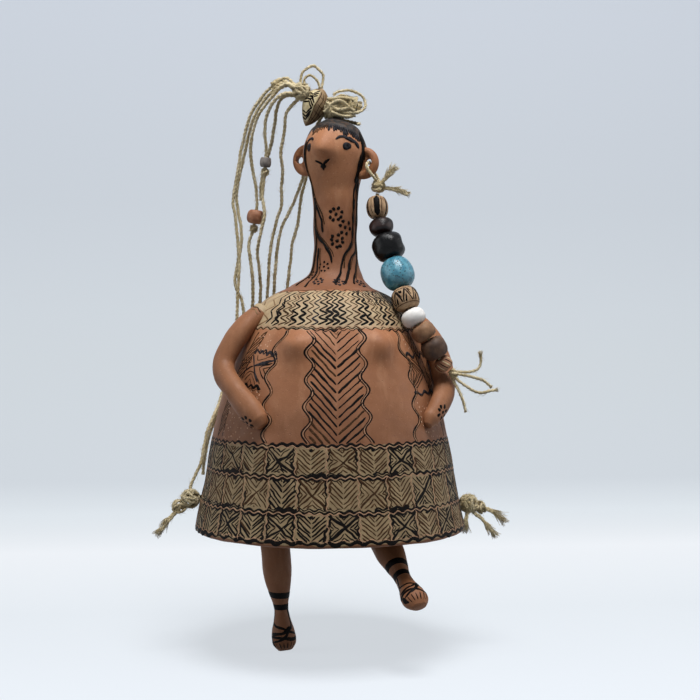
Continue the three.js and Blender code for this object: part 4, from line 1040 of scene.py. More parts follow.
# The cuff lies above the line where the height less a share of the distance aside has this value.
CUFF_SLOPE = 0.75
CUFF_EDGE = 81.4


def arm_line(name):
    """The arm's centres, radii and cross directions."""
    stations = np.array(ARMS[name], float)
    places = np.array([around(a, bell_radius(h) + off, h) for h, a, off, _ in stations])
    centres = catmull(places, 12)
    radii = np.interp(np.linspace(0, len(stations) - 1, len(centres)), range(len(stations)), stations[:, 3])
    tangent = unit(np.gradient(centres, axis=0))
    outward = unit(centres * (1, 1, 0))
    outward = unit(outward - tangent * (outward * tangent).sum(1, keepdims=True))
    return centres, radii, outward, np.cross(tangent, outward)


def off_the_bell(points, gap):
    """Pushes points out of the bell's wall, so that clay laid on it is pressed flat against it."""
    flat = points.reshape(-1, 3).copy()
    angle = np.degrees(np.arctan2(flat[:, 0], -flat[:, 1]))
    least = bell_radius(flat[:, 2]) + bell_swell(angle, flat[:, 2]) + gap
    radius = np.hypot(flat[:, 0], flat[:, 1])
    flat[:, :2] *= np.maximum(1, least / radius)[:, None]
    return flat.reshape(points.shape)


def arm_point_of(name):
    """The arm's painted surface: an angle round it from its outer side, and a share of its length."""
    centres, radii, outward, side = arm_line(name)

    def point(turn, share):
        known = range(len(centres))
        at = np.clip(share, 0, 1) * known[-1]
        middle, out, aside = (between(at, known, rows) for rows in (centres, outward, side))
        radius = np.interp(at, known, radii)
        turn = np.radians(turn)
        return (middle + out * (radius * ARM_FLATNESS * np.cos(turn))[..., None]
                + aside * (radius * np.sin(turn))[..., None])

    return point


def shoulder_cuff(s):
    """The collar's cream slip, run over the top of the arm."""
    x, _, z = s.xyz()
    above = s.math("SUBTRACT", z, s.times(s.math("ABSOLUTE", x), CUFF_SLOPE))
    edge = s.plus(above, s.cloud(4, 2, 0.3, 0.7, -0.6 * MM, 0.6 * MM))
    low, high = edge_at(CUFF_EDGE)
    return s.ramp(edge, low * MM, high * MM, 0, 0.92), cream(s)


def make_arm(name):
    point = arm_point_of(name)
    turn = 360 * np.arange(40) / 40
    rings = np.array([point(turn, share) for share in np.linspace(0, 1, 90)])
    rings = off_the_bell(rough_up(rings, *ARM_LUMPS), -0.6)
    clay = clay_material(f"{name}_clay", [shoulder_cuff], ARM_TONES)
    return loft(f"{name}_clay", rings, clay, nodes=[name])


ARM_PIECES = {name: make_arm(name) for name in ARMS}

# Clay: the legs

LOOP_DROP = 6.4
LUG_THICK = 5
LEG_EYE = 3.4
SOLE = 60  # how far down the toes begin
TOE_SPREAD = 5.9
# How far down, how far forward, half the width and half the depth.
LEG_SHAPE = uniform_spline([
    (-3.6, 0, 1.6, 1.2), (-2.6, 0, 3.9, 2.3), (0, 0, 5.2, 2.5), (4.5, 0, 6.2, 3.2), (12, 0, 6.9, 6),
    (28, 0, 7.2, 7), (39, 0, 5.4, 5.6), (47, 0, 3.7, 4.2), (53.5, 0.6, 4.2, 5), (59.5, 1.6, 5.7, 6),
    (64.5, 2.4, 5.9, 5), (67.8, 2.8, 3.6, 2.6),
], 200)
# Where a leg hangs on the cord, across and in height, its swing and its splay in degrees, and a seed.
LEGS = {"left": (19.2, 12.427, 54, 14.5, 31), "right": (-29, 13.866, 0, 5.5, 57)}


def leg_point(turn, down):
    """A leg's surface before it is hung: an angle round it from the front, and how far below its eye."""
    forward, wide, deep = between(down, LEG_SHAPE[:, 0], LEG_SHAPE[:, 1:]).T
    turn = np.radians(turn)
    return np.stack([wide * np.sin(turn), -forward - deep * np.cos(turn), -down + 0 * turn], axis=-1)


def hanger_place(side):
    place, height, swing = LEGS[side][:3]
    return Matrix.Translation(Vector((place, 0, height)) * MM) @ Matrix.Rotation(-math.radians(swing), 4, "X")


def leg_place(side):
    drop = Matrix.Translation((0, 0, -LOOP_DROP * MM))
    return hanger_place(side) @ drop @ Matrix.Rotation(-math.radians(LEGS[side][3]), 4, "Y")


def make_leg(side):
    turn = 360 * np.arange(48) / 48
    rings = []
    for down in LEG_SHAPE[np.r_[0:188:3, 188:200:1], 0]:
        ring = leg_point(turn, down)
        toes = np.clip((down - SOLE) / 5, 0, 1) * np.clip(np.cos(np.radians(turn)) + 0.3, 0, 1)
        gaps = np.abs(np.sin(ring[:, 0] / TOE_SPREAD * np.pi * 1.25 + np.pi / 2)) ** 0.4
        ring[:, 1] += 0.55 * toes * gaps - 0.4 * toes
        rings.append(ring)
    rings = rough_up(np.array(rings), 0.3, 8, LEGS[side][4])
    leg = loft(f"{side}_leg_clay", rings, CLAY_LEG_SHADED, body=f"{side}_leg", nodes=[f"{side}_leg"])
    cut(leg, ((0, 0, 0), (0, 1, 0), LEG_EYE, 20))
    leg.data.transform(leg_place(side))
    return leg


def leg_loop(side):
    """A ring of twine round the leg cord and through the leg's eye."""
    top, wide, bottom = 2.3, LUG_THICK / 2 + 1.9, 3
    ring = [(0, top * math.cos(a), top * math.sin(a)) for a in np.radians(np.arange(0, 181, 45))]
    ring += [(0, wide * math.cos(a), bottom * (1 + math.sin(a)) - LOOP_DROP)
             for a in np.radians(np.arange(180, 360, 30))]
    line = catmull(np.vstack([ring[-2:], ring, ring[:2]]))
    start, end = 2 * 24, (len(ring) + 2) * 24 + 1
    bundle = Bundle()
    bundle.twine(line[start:end], LOOP_TWINE, closed=True, hairs=0.5, reach=0.8)
    bundle.make_twine(f"{side}_leg_loop", f"{side}_leg_hanger").data.transform(hanger_place(side))


# Painted shade: a darker copy of the terracotta for the legs, which hang in the bell's shade.
CLAY_LEG_SHADED = clay_material("terracotta_legs_shaded", tones=((124, 80, 52), (142, 94, 63), (164, 116, 84)))
LEG_PIECES = {side: make_leg(side) for side in LEGS}
for leg_side in LEGS:
    leg_loop(leg_side)

# The ear loop


def ear_loop():
    """Twine goes up one side of the ear, through its hole and down the other side to the ear knot."""
    angle, height, _ = EARS["left_ear"]
    hole = ear_hole(angle, height)
    through = around(angle + 90, 1.0, np.float64(0))
    reach = 2 + 1.1 + LOOP_TWINE / 2
    arch = [hole + through * reach * math.cos(a) + np.array((0, 0, 2.4 * (math.sin(a) - 1)))
            for a in np.radians(np.arange(0, 181, 22.5))]
    knot_place = np.array(EAR_KNOT)
    beside = (hole + knot_place) / 2
    foot = knot_place + np.array((0, 0, 2.6))
    points = [foot + through * 2.2, beside + through * 1.05 * reach, *arch,
              beside - through * 1.05 * reach, foot - through * 2.2]
    twine_piece("ear_loop", catmull(points), LOOP_TWINE, body="bead_string", hairs=0.6, wobble=0.05)


ear_loop()

# Beads

TAN = ((136, 106, 78), (184, 154, 120))
# Height, radius, squareness, unevenness and material.
BEADS = {
    "string_bead_1_striped": (11, 5.4, 2.1, 0.15, bead_material("bead_tan_striped", *TAN)),
    "string_bead_2_dark_brown": (8.1, 5.8, 2.2, 0.9, bead_material(
        "bead_dark_brown", (16, 11, 10), (50, 31, 27), (0.3, 0.45), gloss=0.25)),
    "string_bead_3_black": (13.1, 7.7, 2.6, 0.9, bead_material(
        "bead_black", (3, 3, 4), (14, 13, 14), (0.24, 0.38), gloss=0.18)),
    "string_bead_4_turquoise": (15.5, 8, 2.3, 0.35, bead_material(
        "bead_turquoise", (52, 116, 138), (96, 156, 174), (0.25, 0.4), 0.35, pits=0.8, coat=0.3)),
    "string_bead_5_patterned": (11, 6.6, 2.5, 0.25, bead_material("bead_tan_patterned", *TAN)),
    "string_bead_6_white": (7.9, 6, 2.1, 0.2, bead_material("bead_white", (222, 219, 215), (240, 237, 233))),
    "string_bead_7_tan": (7.9, 5.8, 2.5, 0.4, bead_material("bead_tan", (116, 83, 58), (150, 114, 84))),
    "string_bead_8_brown": (9.8, 6.2, 2.6, 0.4, bead_material("bead_brown", (58, 39, 28), (94, 69, 51))),
    "string_bead_9_small": (6.3, 4.3, 2.3, 0.3, bead_material("bead_small", (132, 90, 66), (166, 122, 92))),
    "hair_bead_grey": (5, 2.9, 2.2, 0.25, bead_material("bead_grey", (96, 90, 86), (150, 142, 136))),
    "hair_bead_terracotta": (7, 4.4, 2.3, 0.15, bead_material(
        "bead_terracotta", (130, 84, 60), (172, 122, 92))),
}
SPINS = {joint["child"]: joint for joint in frame["joints"] if joint.get("continuous")}
BEAD_BORES = {"string": 1.6, "hair": 1.4}
BEAD_RIM = 0.5  # how wide the flat end round the bore is
ENDS_KEPT = (1, 1, 0.3)  # the lumps' share along a bead, so that it clears its neighbours as it spins


def bead_bore(name):
    return BEAD_BORES[name.split("_")[0]]


def slot_of(name):
    return next(p["material_slot"] for p in frame["record"]["subparts"] if p["node"] == name)


def bead_point_of(name):
    """A bead's surface: an angle round it and a distance from its middle."""
    height, radius, square = BEADS[name][:3]
    foot = bead_bore(name) + BEAD_RIM

    def point(turn, z):
        along = np.clip(np.abs(2 * z / height), 0, 1)
        return around(turn, foot + (radius - foot) * (1 - along**square) ** (1 / square), z)

    return point


def bead_place(name):
    return aimed(SPINS[name]["pos_m"], SPINS[name]["axis"])


def make_bead(name):
    height, _, _, uneven, material = BEADS[name]
    bore, point = bead_bore(name), bead_point_of(name)
    turn = 360 * np.arange(48) / 48
    rings = [point(turn, z) for z in -height / 2 * np.cos(np.linspace(0.06, np.pi - 0.06, 34))]
    rings += [around(turn, bore, z) for z in (height / 2 - 0.2, 0, -height / 2 + 0.2)]
    rings = np.array(rings)
    away = np.clip((np.hypot(rings[..., :1], rings[..., 1:2]) - bore) / 2, 0, 1)
    rings = rings + (rough_up(rings, uneven, 5.5, sum(map(ord, name))) - rings) * away * ENDS_KEPT
    return loft(f"{name}_clay", rings, material, caps=False, body=name, nodes=[name], slot=slot_of(name),
                place=bead_place(name))


BEAD_PIECES = {name: make_bead(name) for name in BEADS}
KNOT_ROOM = Vector((0, 0, 0.2))  # lets the hair bead above spin
for knot_name in ("hair_bead_grey_knot", "hair_bead_terracotta_knot"):
    low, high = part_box(knot_name)
    knot(knot_name, (low + high) / 2 / MM - KNOT_ROOM, 2.3, (40, 10, 0))

ALMOND_TOP = np.array((-3.8, 0, 219))
ALMOND_TIP = np.array((-12.2, 0, 200.4))
ALMOND_BORE = 5.4


def almond_point(turn, share):
    """The almond bead's surface: an angle round it and a share of its length from the top."""
    axis = ALMOND_TIP - ALMOND_TOP
    width = np.cross(unit(axis), (0, 1, 0))
    swell = np.sin(np.pi * np.clip(share, 0.002, 0.998) ** 0.8) ** 0.75
    turn = np.radians(turn)
    edge = 1 - 0.16 * np.sin(2 * turn) ** 2
    return (ALMOND_TOP + axis * np.asarray(share)[..., None]
            + width * (6.2 * swell * edge * np.sin(turn))[..., None]
            + np.array((0, -1, 0)) * (6 * swell * edge * np.cos(turn))[..., None])


def make_almond():
    turn = 360 * np.arange(56) / 56
    shares = (1 - np.cos(np.linspace(0.09, np.pi - 0.06, 48))) / 2
    rings = rough_up(np.array([almond_point(turn, share) for share in shares]), 0.3, 6, 12)
    almond = loft("topknot_bead_clay", rings, bead_material("bead_almond", (122, 98, 70), (164, 138, 104)),
                  nodes=["topknot_bead"], slot="bead_almond")
    return cut(almond, ((-6.4, 0, 212), (-9.7, 0, 6.9), ALMOND_BORE, 30))


ALMOND = make_almond()

# Slip brushed on the clay

# Dark and light tone, how much is worn, and the worn tone.
SLIPS = {slip: slip_material(*tones) for slip, tones in {
    "black": ("black_slip", (2, 2, 2), (12, 10, 9), 0.3, (58, 40, 29)),
    "brown": ("brown_slip", (44, 29, 17), (72, 50, 32), 0.45, (116, 84, 58)),
    "clay": ("scratched_clay", (162, 123, 97), (188, 152, 124), 0.35, (144, 104, 80)),
    "faint": ("faint_brown_slip", (106, 80, 54), (138, 108, 78), 0.4, (160, 134, 100)),
    "pale": ("pale_dots", (186, 146, 120), (206, 170, 142), 0.4, (168, 118, 90)),
    "blue": ("grey_black_slip", (22, 21, 24), (56, 54, 58), 0.15, (84, 66, 56)),
    "cream": ("cream_line", (196, 178, 136), (222, 208, 172), 0.2, (160, 130, 96)),
}.items()}
BRUSH_STEP = 0.75


def drift(count, every, spread):
    """A smooth random line of so many values, a new one about every so many of them."""
    knots = rng.normal(0, spread, max(3, count // every + 2))
    return np.interp(np.linspace(0, len(knots) - 1, count), range(len(knots)), knots)


def placed(point, place):
    """A surface's points as they are once a matrix has put it in its place."""
    matrix = np.array(place)
    return lambda *at: point(*at) @ matrix[:3, :3].T + matrix[:3, 3] / MM


class Paint:
    """Strokes and spots of slip on the skin of a clay piece, one mesh for each slip."""

    STROKE = ((-1, -0.14), (-0.66, 0.06), (0, 0.09), (0.66, 0.06), (1, -0.14), (0, -0.3))
    SPOT = ((0.45, 0.1), (0.82, 0.08), (1, -0.14), (0.4, -0.3))

    def __init__(self, piece, point):
        mesh = piece.data
        corners = [v.co / MM for v in mesh.vertices]
        self.skin = BVHTree.FromPolygons(corners, [tuple(face.vertices) for face in mesh.polygons])
        self.point = point
        self.slips = {}
        self.lift = 0.0  # raised for a stroke that lies on another

    def land(self, places):
        """The nearest points of the skin, and its directions there."""
        found = [self.skin.find_nearest(Vector(place)) for place in places]
        return np.array([f[0] for f in found]), np.array([f[1] for f in found])

    def stroke(self, slip, width, *route, wobble=0.1, vary=0.16):
        """A brush stroke along a route given in the skin's own two measures."""
        first, second = np.array(route, float).T
        line = spaced(self.point(first, second), BRUSH_STEP)
        if len(line) < 4:
            line = spaced(line, line_length(line) / 3.01)
        count = len(line)
        line = line + np.stack([drift(count, 4, wobble) for _ in range(3)], axis=1)
        line, normal = self.land(line)
        side = unit(np.cross(normal, unit(np.gradient(line, axis=0))))
        along = np.linspace(0, line_length(line), count)
        near = np.minimum(along, along[-1] - along)
        half = width / 2 * np.clip(1 + drift(count, 5, vary), 0.55, 1.5) * np.clip(0.4 + near / width, 0.4, 1)
        rings = np.stack([line + side * (half * across)[:, None] + normal * (up + self.lift)
                          for across, up in self.STROKE], axis=1)
        self.slips.setdefault(slip, Bundle()).add(rings)

    def spot(self, slip, first, second, wide, tall=None, turn=0.0, uneven=0.08, aside=(0, 0)):
        """An oval spot of a width and a height, turned by so many degrees and set aside on the skin."""
        tall = tall or wide
        centre, normal = self.land([self.point(np.float64(first), np.float64(second))])
        up = unit(np.array((0, 0, 1.0)) - normal[0] * normal[0][2] + 1e-6)
        side = np.cross(up, normal[0])
        spin = 2 * np.pi * np.arange(14) / 14
        edge = wobbly(spin, uneven, uneven)
        x, y = wide / 2 * edge * np.cos(spin), tall / 2 * edge * np.sin(spin)
        tilt = math.radians(turn)
        x, y = x * math.cos(tilt) - y * math.sin(tilt), x * math.sin(tilt) + y * math.cos(tilt)
        rings = []
        for reach, height in self.SPOT:  # from the middle out and down into the clay
            flat = (aside[0] + reach * x)[:, None] * side + (aside[1] + reach * y)[:, None] * up
            ring, ring_normal = self.land(centre[0] + flat)
            rings.append(ring + ring_normal * (height + self.lift))
        self.slips.setdefault(slip, Bundle()).add(np.array(rings))

    def rosette(self, slip, first, second, radius, petals, dot, long=1.2):
        """Dots round a dot."""
        self.spot(slip, first, second, dot)
        start = rng.uniform(0, 360)
        for petal in range(petals):
            turn = start + 360 * petal / petals + rng.normal(0, 5)
            reach = radius * rng.uniform(0.9, 1.1)
            aside = (reach * math.cos(math.radians(turn)), reach * math.sin(math.radians(turn)))
            self.spot(slip, first, second, dot * long, dot, turn, aside=aside)

    def finish(self, name, body=ROOT, slot="terracotta"):
        for slip, bundle in self.slips.items():
            bundle.make(f"paint_{name}_{slip}", SLIPS[slip], body=body, slot=slot)


# Painting of the bell

# The foot, the top, the columns and which of them are crossed, of each row of tiles.
TILE_ROWS = ((31.5, BAND_TOP, 26, 0), (15.7, 31.5, 28, 1), (1.6, 15.7, 28, 0))
TILE_MIDDLE = 1.5
LINE_SWING = 0.6
LINE_LIFT = 0.04  # of a thin line that lies on a broad one
COLLAR_COLUMNS = 78
SHOULDER_PATCH = (262, 318)
PANEL_STEP = 3.7


def degrees_at(length, height):
    """The angle round the bell that a length in millimetres goes at a height."""
    return np.degrees(length / bell_radius(height))


def tile_point(middle, low, high, columns):
    """A tile's own measures, -1 to 1 across and up, to the bell's."""
    half = 180 / columns

    def at(x, y):
        return middle + x * half, (low + high) / 2 + y * (high - low) / 2

    return at


def dark():
    return "black" if rng.uniform() < 0.62 else "brown"


def vee_tile(paint, at, slip, bold):
    """Nested chevrons that fill the tile."""
    for k in range(9):
        tip = 0.72 - 0.33 * k + rng.normal(0, 0.02)
        width = rng.uniform(0.8, 1.15) * bold
        for way in (-1, 1):
            foot = tip + rng.normal(0, 0.04)
            low, high = max(foot, -0.93), min(foot + 0.9, 0.9)
            x0, x1 = max(0.03, low - foot), high - foot
            if x1 - x0 > 0.1:
                paint.stroke(slip if rng.uniform() < 0.8 else dark(), width,
                             at(way * x1, high), at(way * x0, low), wobble=0.13)
    if rng.uniform() < 0.4:
        paint.spot("black", *at(0, 0.82), 2.2, 1.7)


def cross_tile(paint, at, slip, bold):
    """Two thick bent diagonals with nested angles in each quarter, open to the tile's edges."""
    for way in (-1, 1):
        bend = rng.normal(0, 0.07, 4)
        paint.stroke("black" if bold > 0.9 else slip, rng.uniform(1.1, 1.7) * bold, at(-0.98 * way, -0.95),
                     at(-0.5 * way, -0.48 + bend[0]), at(bend[1], bend[2]), at(0.5 * way, 0.48 + bend[3]),
                     at(0.98 * way, 0.95), wobble=0.2, vary=0.28)
    for quarter in range(4):
        sign = 1 if quarter % 2 else -1
        for tip in (0.32, 0.62, 0.86)[: int(rng.integers(2, 4))]:
            width = rng.uniform(0.7, 1.1) * bold
            for way in (-1, 1):
                end = (way * (0.94 - tip) * rng.uniform(0.85, 1.1), 0.9)
                points = ((0, tip), (0.5 * end[0] + rng.normal(0, 0.03), (tip + 0.9) / 2 + 0.05), end)
                if quarter > 1:
                    points = [(y, x) for x, y in points]
                paint.stroke(slip, width, *[at(sign * x, sign * y) for x, y in points], wobble=0.15)


def wavy(paint, slip, width, height, swing, count, shift=0.0, gap=0.0, vary=0.2):
    """A wavy line right round the bell, in strokes that overlap."""
    for part in range(24):
        angles = np.linspace(part * 15 - 0.6, part * 15 + 15.6, 17)
        wave = swing * np.sin(np.radians(angles * count) + shift + 1.3 * np.sin(np.radians(angles * 5)))
        wave += 0.35 * swing * np.sin(np.radians(angles * 13))
        if rng.uniform() >= gap:
            paint.stroke(slip, width * rng.uniform(0.85, 1.15), *zip(angles, height + wave),
                         wobble=0.06, vary=vary)


def skirt(paint):
    for low, high, columns, odd in TILE_ROWS:
        for column in range(columns):
            middle = TILE_MIDDLE + 360 * column / columns
            at = tile_point(middle, low + 0.9, high - 1.0, columns)
            bold = rng.uniform(0.8, 1.15)
            crossed = (column + odd) % 2 == 0
            slip = "black" if bold > 0.95 else "brown"
            (cross_tile if crossed else vee_tile)(paint, at, slip, bold)
            rows = np.linspace(-1.06, 1.06, 30)
            wave = 0.07 * np.sin(11 * rows + column * 2.4) + 0.04 * np.sin(5 * rows + column)
            paint.lift = LINE_LIFT
            paint.stroke("clay", 0.42, *[at(1 + x, y) for x, y in zip(wave, rows)], wobble=0.06)
            paint.lift = 0.0
            for side in (-1, 1):
                for part in (rows[:17], rows[14:]):
                    if rng.uniform() < (0.85 if crossed else 0.45):
                        edge = [at(side * (0.87 + 0.9 * x), y) for x, y in zip(wave, part)]
                        paint.stroke("black" if crossed else slip, rng.uniform(0.7, 1.4), *edge,
                                     wobble=0.14, vary=0.4)
    for shift, (_, height, columns, _) in enumerate(TILE_ROWS):
        count = 3 * columns
        wavy(paint, "black", 1.4, height + 0.1, LINE_SWING, count, shift, 0, 0.5)
        wavy(paint, "black", 1.3, height - 1.5, LINE_SWING, count, shift, 0.25, 0.5)
        paint.lift = LINE_LIFT
        wavy(paint, "clay", 0.42, height - 0.7, LINE_SWING, count, shift)
        paint.lift = 0.0
        if height < BAND_TOP:
            wavy(paint, "black", 1.1, height + 1.2, LINE_SWING, count, shift, 0.55, 0.5)
    wavy(paint, "black", 1.7, 2.2, 0.5, 60, 0.5, 0, 0.5)
    wavy(paint, "clay", 0.45, 3.3, 0.5, 60, 0.5)


def zigzag(paint, middle, swing, step, slip, width):
    """A zigzag from the neck to the foot of the collar, its swing less where the collar is narrow."""
    corners = [(COLLAR_PAINT_TOP - 0.5, 1)]
    while corners[-1][0] - step > COLLAR_FOOT + 0.4:
        corners.append((corners[-1][0] - step * rng.uniform(0.92, 1.08), -corners[-1][1]))
    route = [(middle + degrees_at(way * swing * bell_radius(h) / 40, h), h) for h, way in corners]
    for start, end in zip(route, route[1:]):
        paint.stroke(slip, width * np.interp(start[1], (108, 116), (1, 0.75)), start, end, wobble=0.07)


def collar(paint):
    """Zigzags from the neck to the edge of the collar, wider and fainter on the right shoulder."""
    for column in range(COLLAR_COLUMNS):
        middle = 360 * column / COLLAR_COLUMNS + rng.normal(0, 0.5)
        if SHOULDER_PATCH[0] < middle < SHOULDER_PATCH[1]:
            if column % 3 == 0:
                zigzag(paint, middle, 3.4, 3.3, "faint", 1.0)
            continue
        black = column % 4 in (0, 1)
        width = rng.uniform(1.25, 1.7) if black else rng.uniform(0.75, 1.05)
        slip = "black" if black else rng.choice(("blue", "brown", "brown"))
        zigzag(paint, middle, 1.85 + rng.normal(0, 0.2), 1.8, slip, width)
    for edge in (SHOULDER_PATCH[1] - 1, SHOULDER_PATCH[1] - 6.5):
        zigzag(paint, edge, 1.6, 3.0, "black", 1.3)
    for angle in range(24, 76, 4):
        paint.stroke("black", rng.uniform(0.5, 0.9), (angle - 4, COLLAR_PAINT_TOP + 0.5), (angle, 113.5),
                     (angle + 1, 110 + rng.uniform(-1.5, 1.5)), wobble=0.2)
    wavy(paint, "brown", 1.0, COLLAR_PAINT_TOP + 0.1, 0.5, 24, 0.3, 0.0, 0.4)
    wavy(paint, "brown", 0.8, COLLAR_FOOT + 0.2, 0.6, 60)
    wavy(paint, "clay", 0.4, COLLAR_FOOT + 0.95, 0.6, 60)
    wavy(paint, "black", 0.9, COLLAR_FOOT - 0.75, 0.6, 60, 0.0, 0.3, 0.4)


def panel_half(height):
    return np.interp(height, (45, 98), (14.4, 11.0))


def panel(paint, middle):
    """Chevrons down the bell between two wavy double lines."""
    top, foot = COLLAR_FOOT - 0.7, BAND_TOP + 0.9
    heights = np.linspace(top, foot, 80)
    for side, crest in ((-1, 87.1), (1, 94.6)):
        wave = 1.8 * np.cos(2 * np.pi * (heights - crest) / 12.2)
        for away, slip, width in ((0.85, "black", 0.95), (0.12, "clay", 0.4), (-0.5, "black", 0.6)):
            across = side * (panel_half(heights) + wave + away)
            paint.stroke(slip, width, *zip(middle + degrees_at(across, heights), heights), wobble=0.08)
    for side, slope in ((-1, 1.1), (1, 0.85)):
        tip = 94.0 + (1.2 if side > 0 else 0)
        while tip > foot - 14:
            reach = panel_half(max(tip, foot) + 9) - 0.6
            low, high = tip, tip + slope * reach
            x0, x1 = 0.35, reach
            if high > top - 0.5:
                x1, high = (top - 0.5 - tip) / slope, top - 0.5
            if low < foot:
                x0, low = (foot - tip) / slope, foot
            if x1 - x0 > 1.4:
                bold = rng.uniform(0.6, 0.9) if tip > 84 else rng.uniform(0.8, 1.5)
                slip = "black" if rng.uniform() < (0.6 if tip > 84 else 0.75) else "brown"
                paint.stroke(slip, bold, (middle + degrees_at(side * x1, high), high),
                             (middle + degrees_at(side * x0, low), low), wobble=0.12)
            tip -= PANEL_STEP * rng.uniform(0.92, 1.08)
    for size in (1.2, 2.6):
        for side in (-1, 1):
            paint.stroke("brown", 0.5, (middle + degrees_at(side * size, top), top - 0.6),
                         (middle, top - 0.6 - 1.4 * size), wobble=0.05)


def side_line(paint, *knots):
    """A wavy double line down the side of the bell."""
    knots = np.array(knots, float)
    heights = np.linspace(COLLAR_FOOT - 0.8, BAND_TOP + 0.8, 76)
    angles = np.interp(-heights, -knots[:, 1], knots[:, 0]) + degrees_at(2.1 * np.sin(heights / 2.1), heights)
    for away, slip, width in ((-0.7, "black", 1.1), (0.05, "clay", 0.38), (0.6, "brown", 0.6)):
        paint.stroke(slip, width, *zip(angles + degrees_at(away, heights), heights), wobble=0.12, vary=0.35)


# A cross and the angles nested in its quarters: slip, width and route, from the middle of the cross.
CROSS_MARKS = (
    ("blue", 1.7, (-1.7, 5.2), (-0.6, 2.4), (0, 0), (2, -3.3), (5.2, -7.4)),
    ("blue", 1.9, (0, 0), (7.5, 1.4), (11, 2.6), (14, 4.2)),
    ("black", 1.2, (0, 0), (-4.1, -1.6), (-6.4, -2.2), (-7.8, -3.4), (-10.5, -5.4)),
    ("brown", 0.7, (-5, -6.4), (-1.6, -4.4), (-0.2, -3.6), (1.2, -5.6), (3.6, -8.6)),
    ("brown", 0.6, (-2.6, -8), (-0.4, -5.8), (0.6, -8.2)),
    ("brown", 0.6, (-7.4, -6), (-4.2, -3.8), (-1.4, -2.2), (1, -3), (6.6, -8.2)),
    ("black", 0.8, (11.8, 1.6), (4.6, -0.8), (8.2, -6.2)),
    ("brown", 0.6, (11.6, -0.4), (7, -1.6), (9.2, -4.4)),
    ("brown", 0.6, (12, -1.8), (9.2, -2.2), (10, -3.6)),
    ("brown", 0.7, (-3, 5.4), (-2.2, 1.6), (-9.4, -1.8)),
    ("black", 0.8, (-5.4, 4.8), (-4.2, 2.2), (-10.2, 0.2)),
    ("brown", 0.7, (-8, 4.4), (-6.4, 2.8), (-11, 2)),
    ("brown", 0.6, (1.2, 5.2), (1.8, 2.6), (6.6, 3.4), (12.4, 5.4)),
)


def cross_patch(paint, middle, height):
    """A bold cross between a scribble and a wavy foot."""
    def at(x, y):
        return middle + degrees_at(x, height + y), height + y

    for slip, width, *route in CROSS_MARKS:
        paint.stroke(slip, width, *[at(*p) for p in route], wobble=0.2, vary=0.3)
    for shift, width in ((0, 1.5), (0.9, 1.0)):
        scribble = [at(x, 6.6 - 0.12 * x + shift + 0.8 * math.sin(x * 2.2 + shift))
                    for x in np.linspace(-1.5, 13.5, 36)]
        paint.stroke("blue", width, *scribble, wobble=0.25, vary=0.4)
    for away, slip, width in ((0, "black", 1.4), (-1.2, "brown", 0.6)):
        foot = [at(x, -9.4 - 0.12 * x + away + 0.7 * math.sin(x * 1.5)) for x in np.linspace(-9, 8, 30)]
        paint.stroke(slip, width, *foot, wobble=0.18, vary=0.4)


def herringbone_patch(paint, left, right, low, high):
    """Two sets of nested angles that point at each other, with a scribble above and below."""
    width = right - left
    for height, wave in ((high, 1.2), (low, 0.8)):
        for shift, slip, thick in ((0, "blue", 1.2), (-0.9, "black", 0.7)):
            edge = [(left + width * t, height + shift + wave * math.sin(26 * t) + 1.2 * t)
                    for t in np.linspace(0, 1, 40)]
            paint.stroke(slip, thick, *edge, wobble=0.15, vary=0.4)
    middle, reach = (low + high) / 2 + 0.6, (high - low) / 2 - 1.9
    for side, start in ((1, left), (-1, right)):
        for k in range(6):
            tip = side * (0.46 - 0.085 * k) * width
            tall = reach - (0.3 * k if k < 4 else 1.6 * (k - 3))
            end = start + max(0.2, side * tip - 0.36 * width) * side
            paint.stroke("black" if k % 3 == 1 else "brown", 0.7 if k % 3 else 0.9,
                         (end, middle + tall), (start + tip, middle), (end, middle - tall), wobble=0.15)


def strip(paint, *knots):
    """Two lines down the bell with steep hatches between them."""
    knots = np.array(knots, float)

    def at(across, height):
        return np.interp(-height, -knots[:, 1], knots[:, 0]) + degrees_at(across, height), height

    top, foot = knots[0, 1], knots[-1, 1]
    for side in (-3, 3):
        for part in range(4):
            rows = np.linspace(top + (foot - top) * part / 4, top + (foot - top) * (part + 1) / 4, 8)
            paint.stroke("black" if part % 2 else "brown", 0.8, *[at(side, h) for h in rows], wobble=0.15)
    for h in np.arange(foot, top - 6.5, 2.3):
        paint.stroke("brown", rng.uniform(0.55, 0.9), at(-2.8, h), at(0, h + 3.4), at(2.8, h + 6.6),
                     wobble=0.12)


def pale_dots(paint, left, right, low, high):
    """Loose rows of faint pale dots."""
    for height in np.arange(low, high, 2.3):
        for angle in np.arange(left, right, 2.7):
            if rng.uniform() < 0.72:
                paint.spot("pale", angle + rng.normal(0, 0.8), height + rng.normal(0, 0.5),
                           rng.uniform(0.5, 1.1))


SIDE_LINES = (
    ((-32, 98), (-38, 80), (-36.5, 65), (-34, 45)),
    ((39, 98), (46, 79), (43.5, 62), (39.5, 45)),
    ((141, 98), (137, 70), (140, 45)),
    ((-141, 98), (-137, 70), (-140, 45)),
)
DOTTED = ((-64, -41, 47.5, 70), (-53, -40, 88, 97), (46, 62, 47.5, 65), (45, 54, 89, 96))


def paint_bell(bell):
    paint = Paint(bell, bell_point)
    skirt(paint)
    collar(paint)
    for middle in (-0.5, 180):
        panel(paint, middle)
    for knots in SIDE_LINES:
        side_line(paint, *knots)
    cross_patch(paint, -50.5, 81)
    cross_patch(paint, 116, 80)
    herringbone_patch(paint, 44.5, 78, 68, 86)
    herringbone_patch(paint, -132, -100, 68, 86)
    for side in (-1, 1):
        strip(paint, (side * 50, 97.4), (side * 58, 84), (side * 64, 72), (side * 68, 58), (side * 69, 47))
    for patch in DOTTED:
        pale_dots(paint, *patch)
    paint.finish("bell")


paint_bell(BELL)

# Painting of the face and the neck


# Angle, height, width, tallness and turn.
EYES = ((16.5, 188, 4.5, 3.9, -10), (-56, 188.2, 4.2, 4.2, 5))
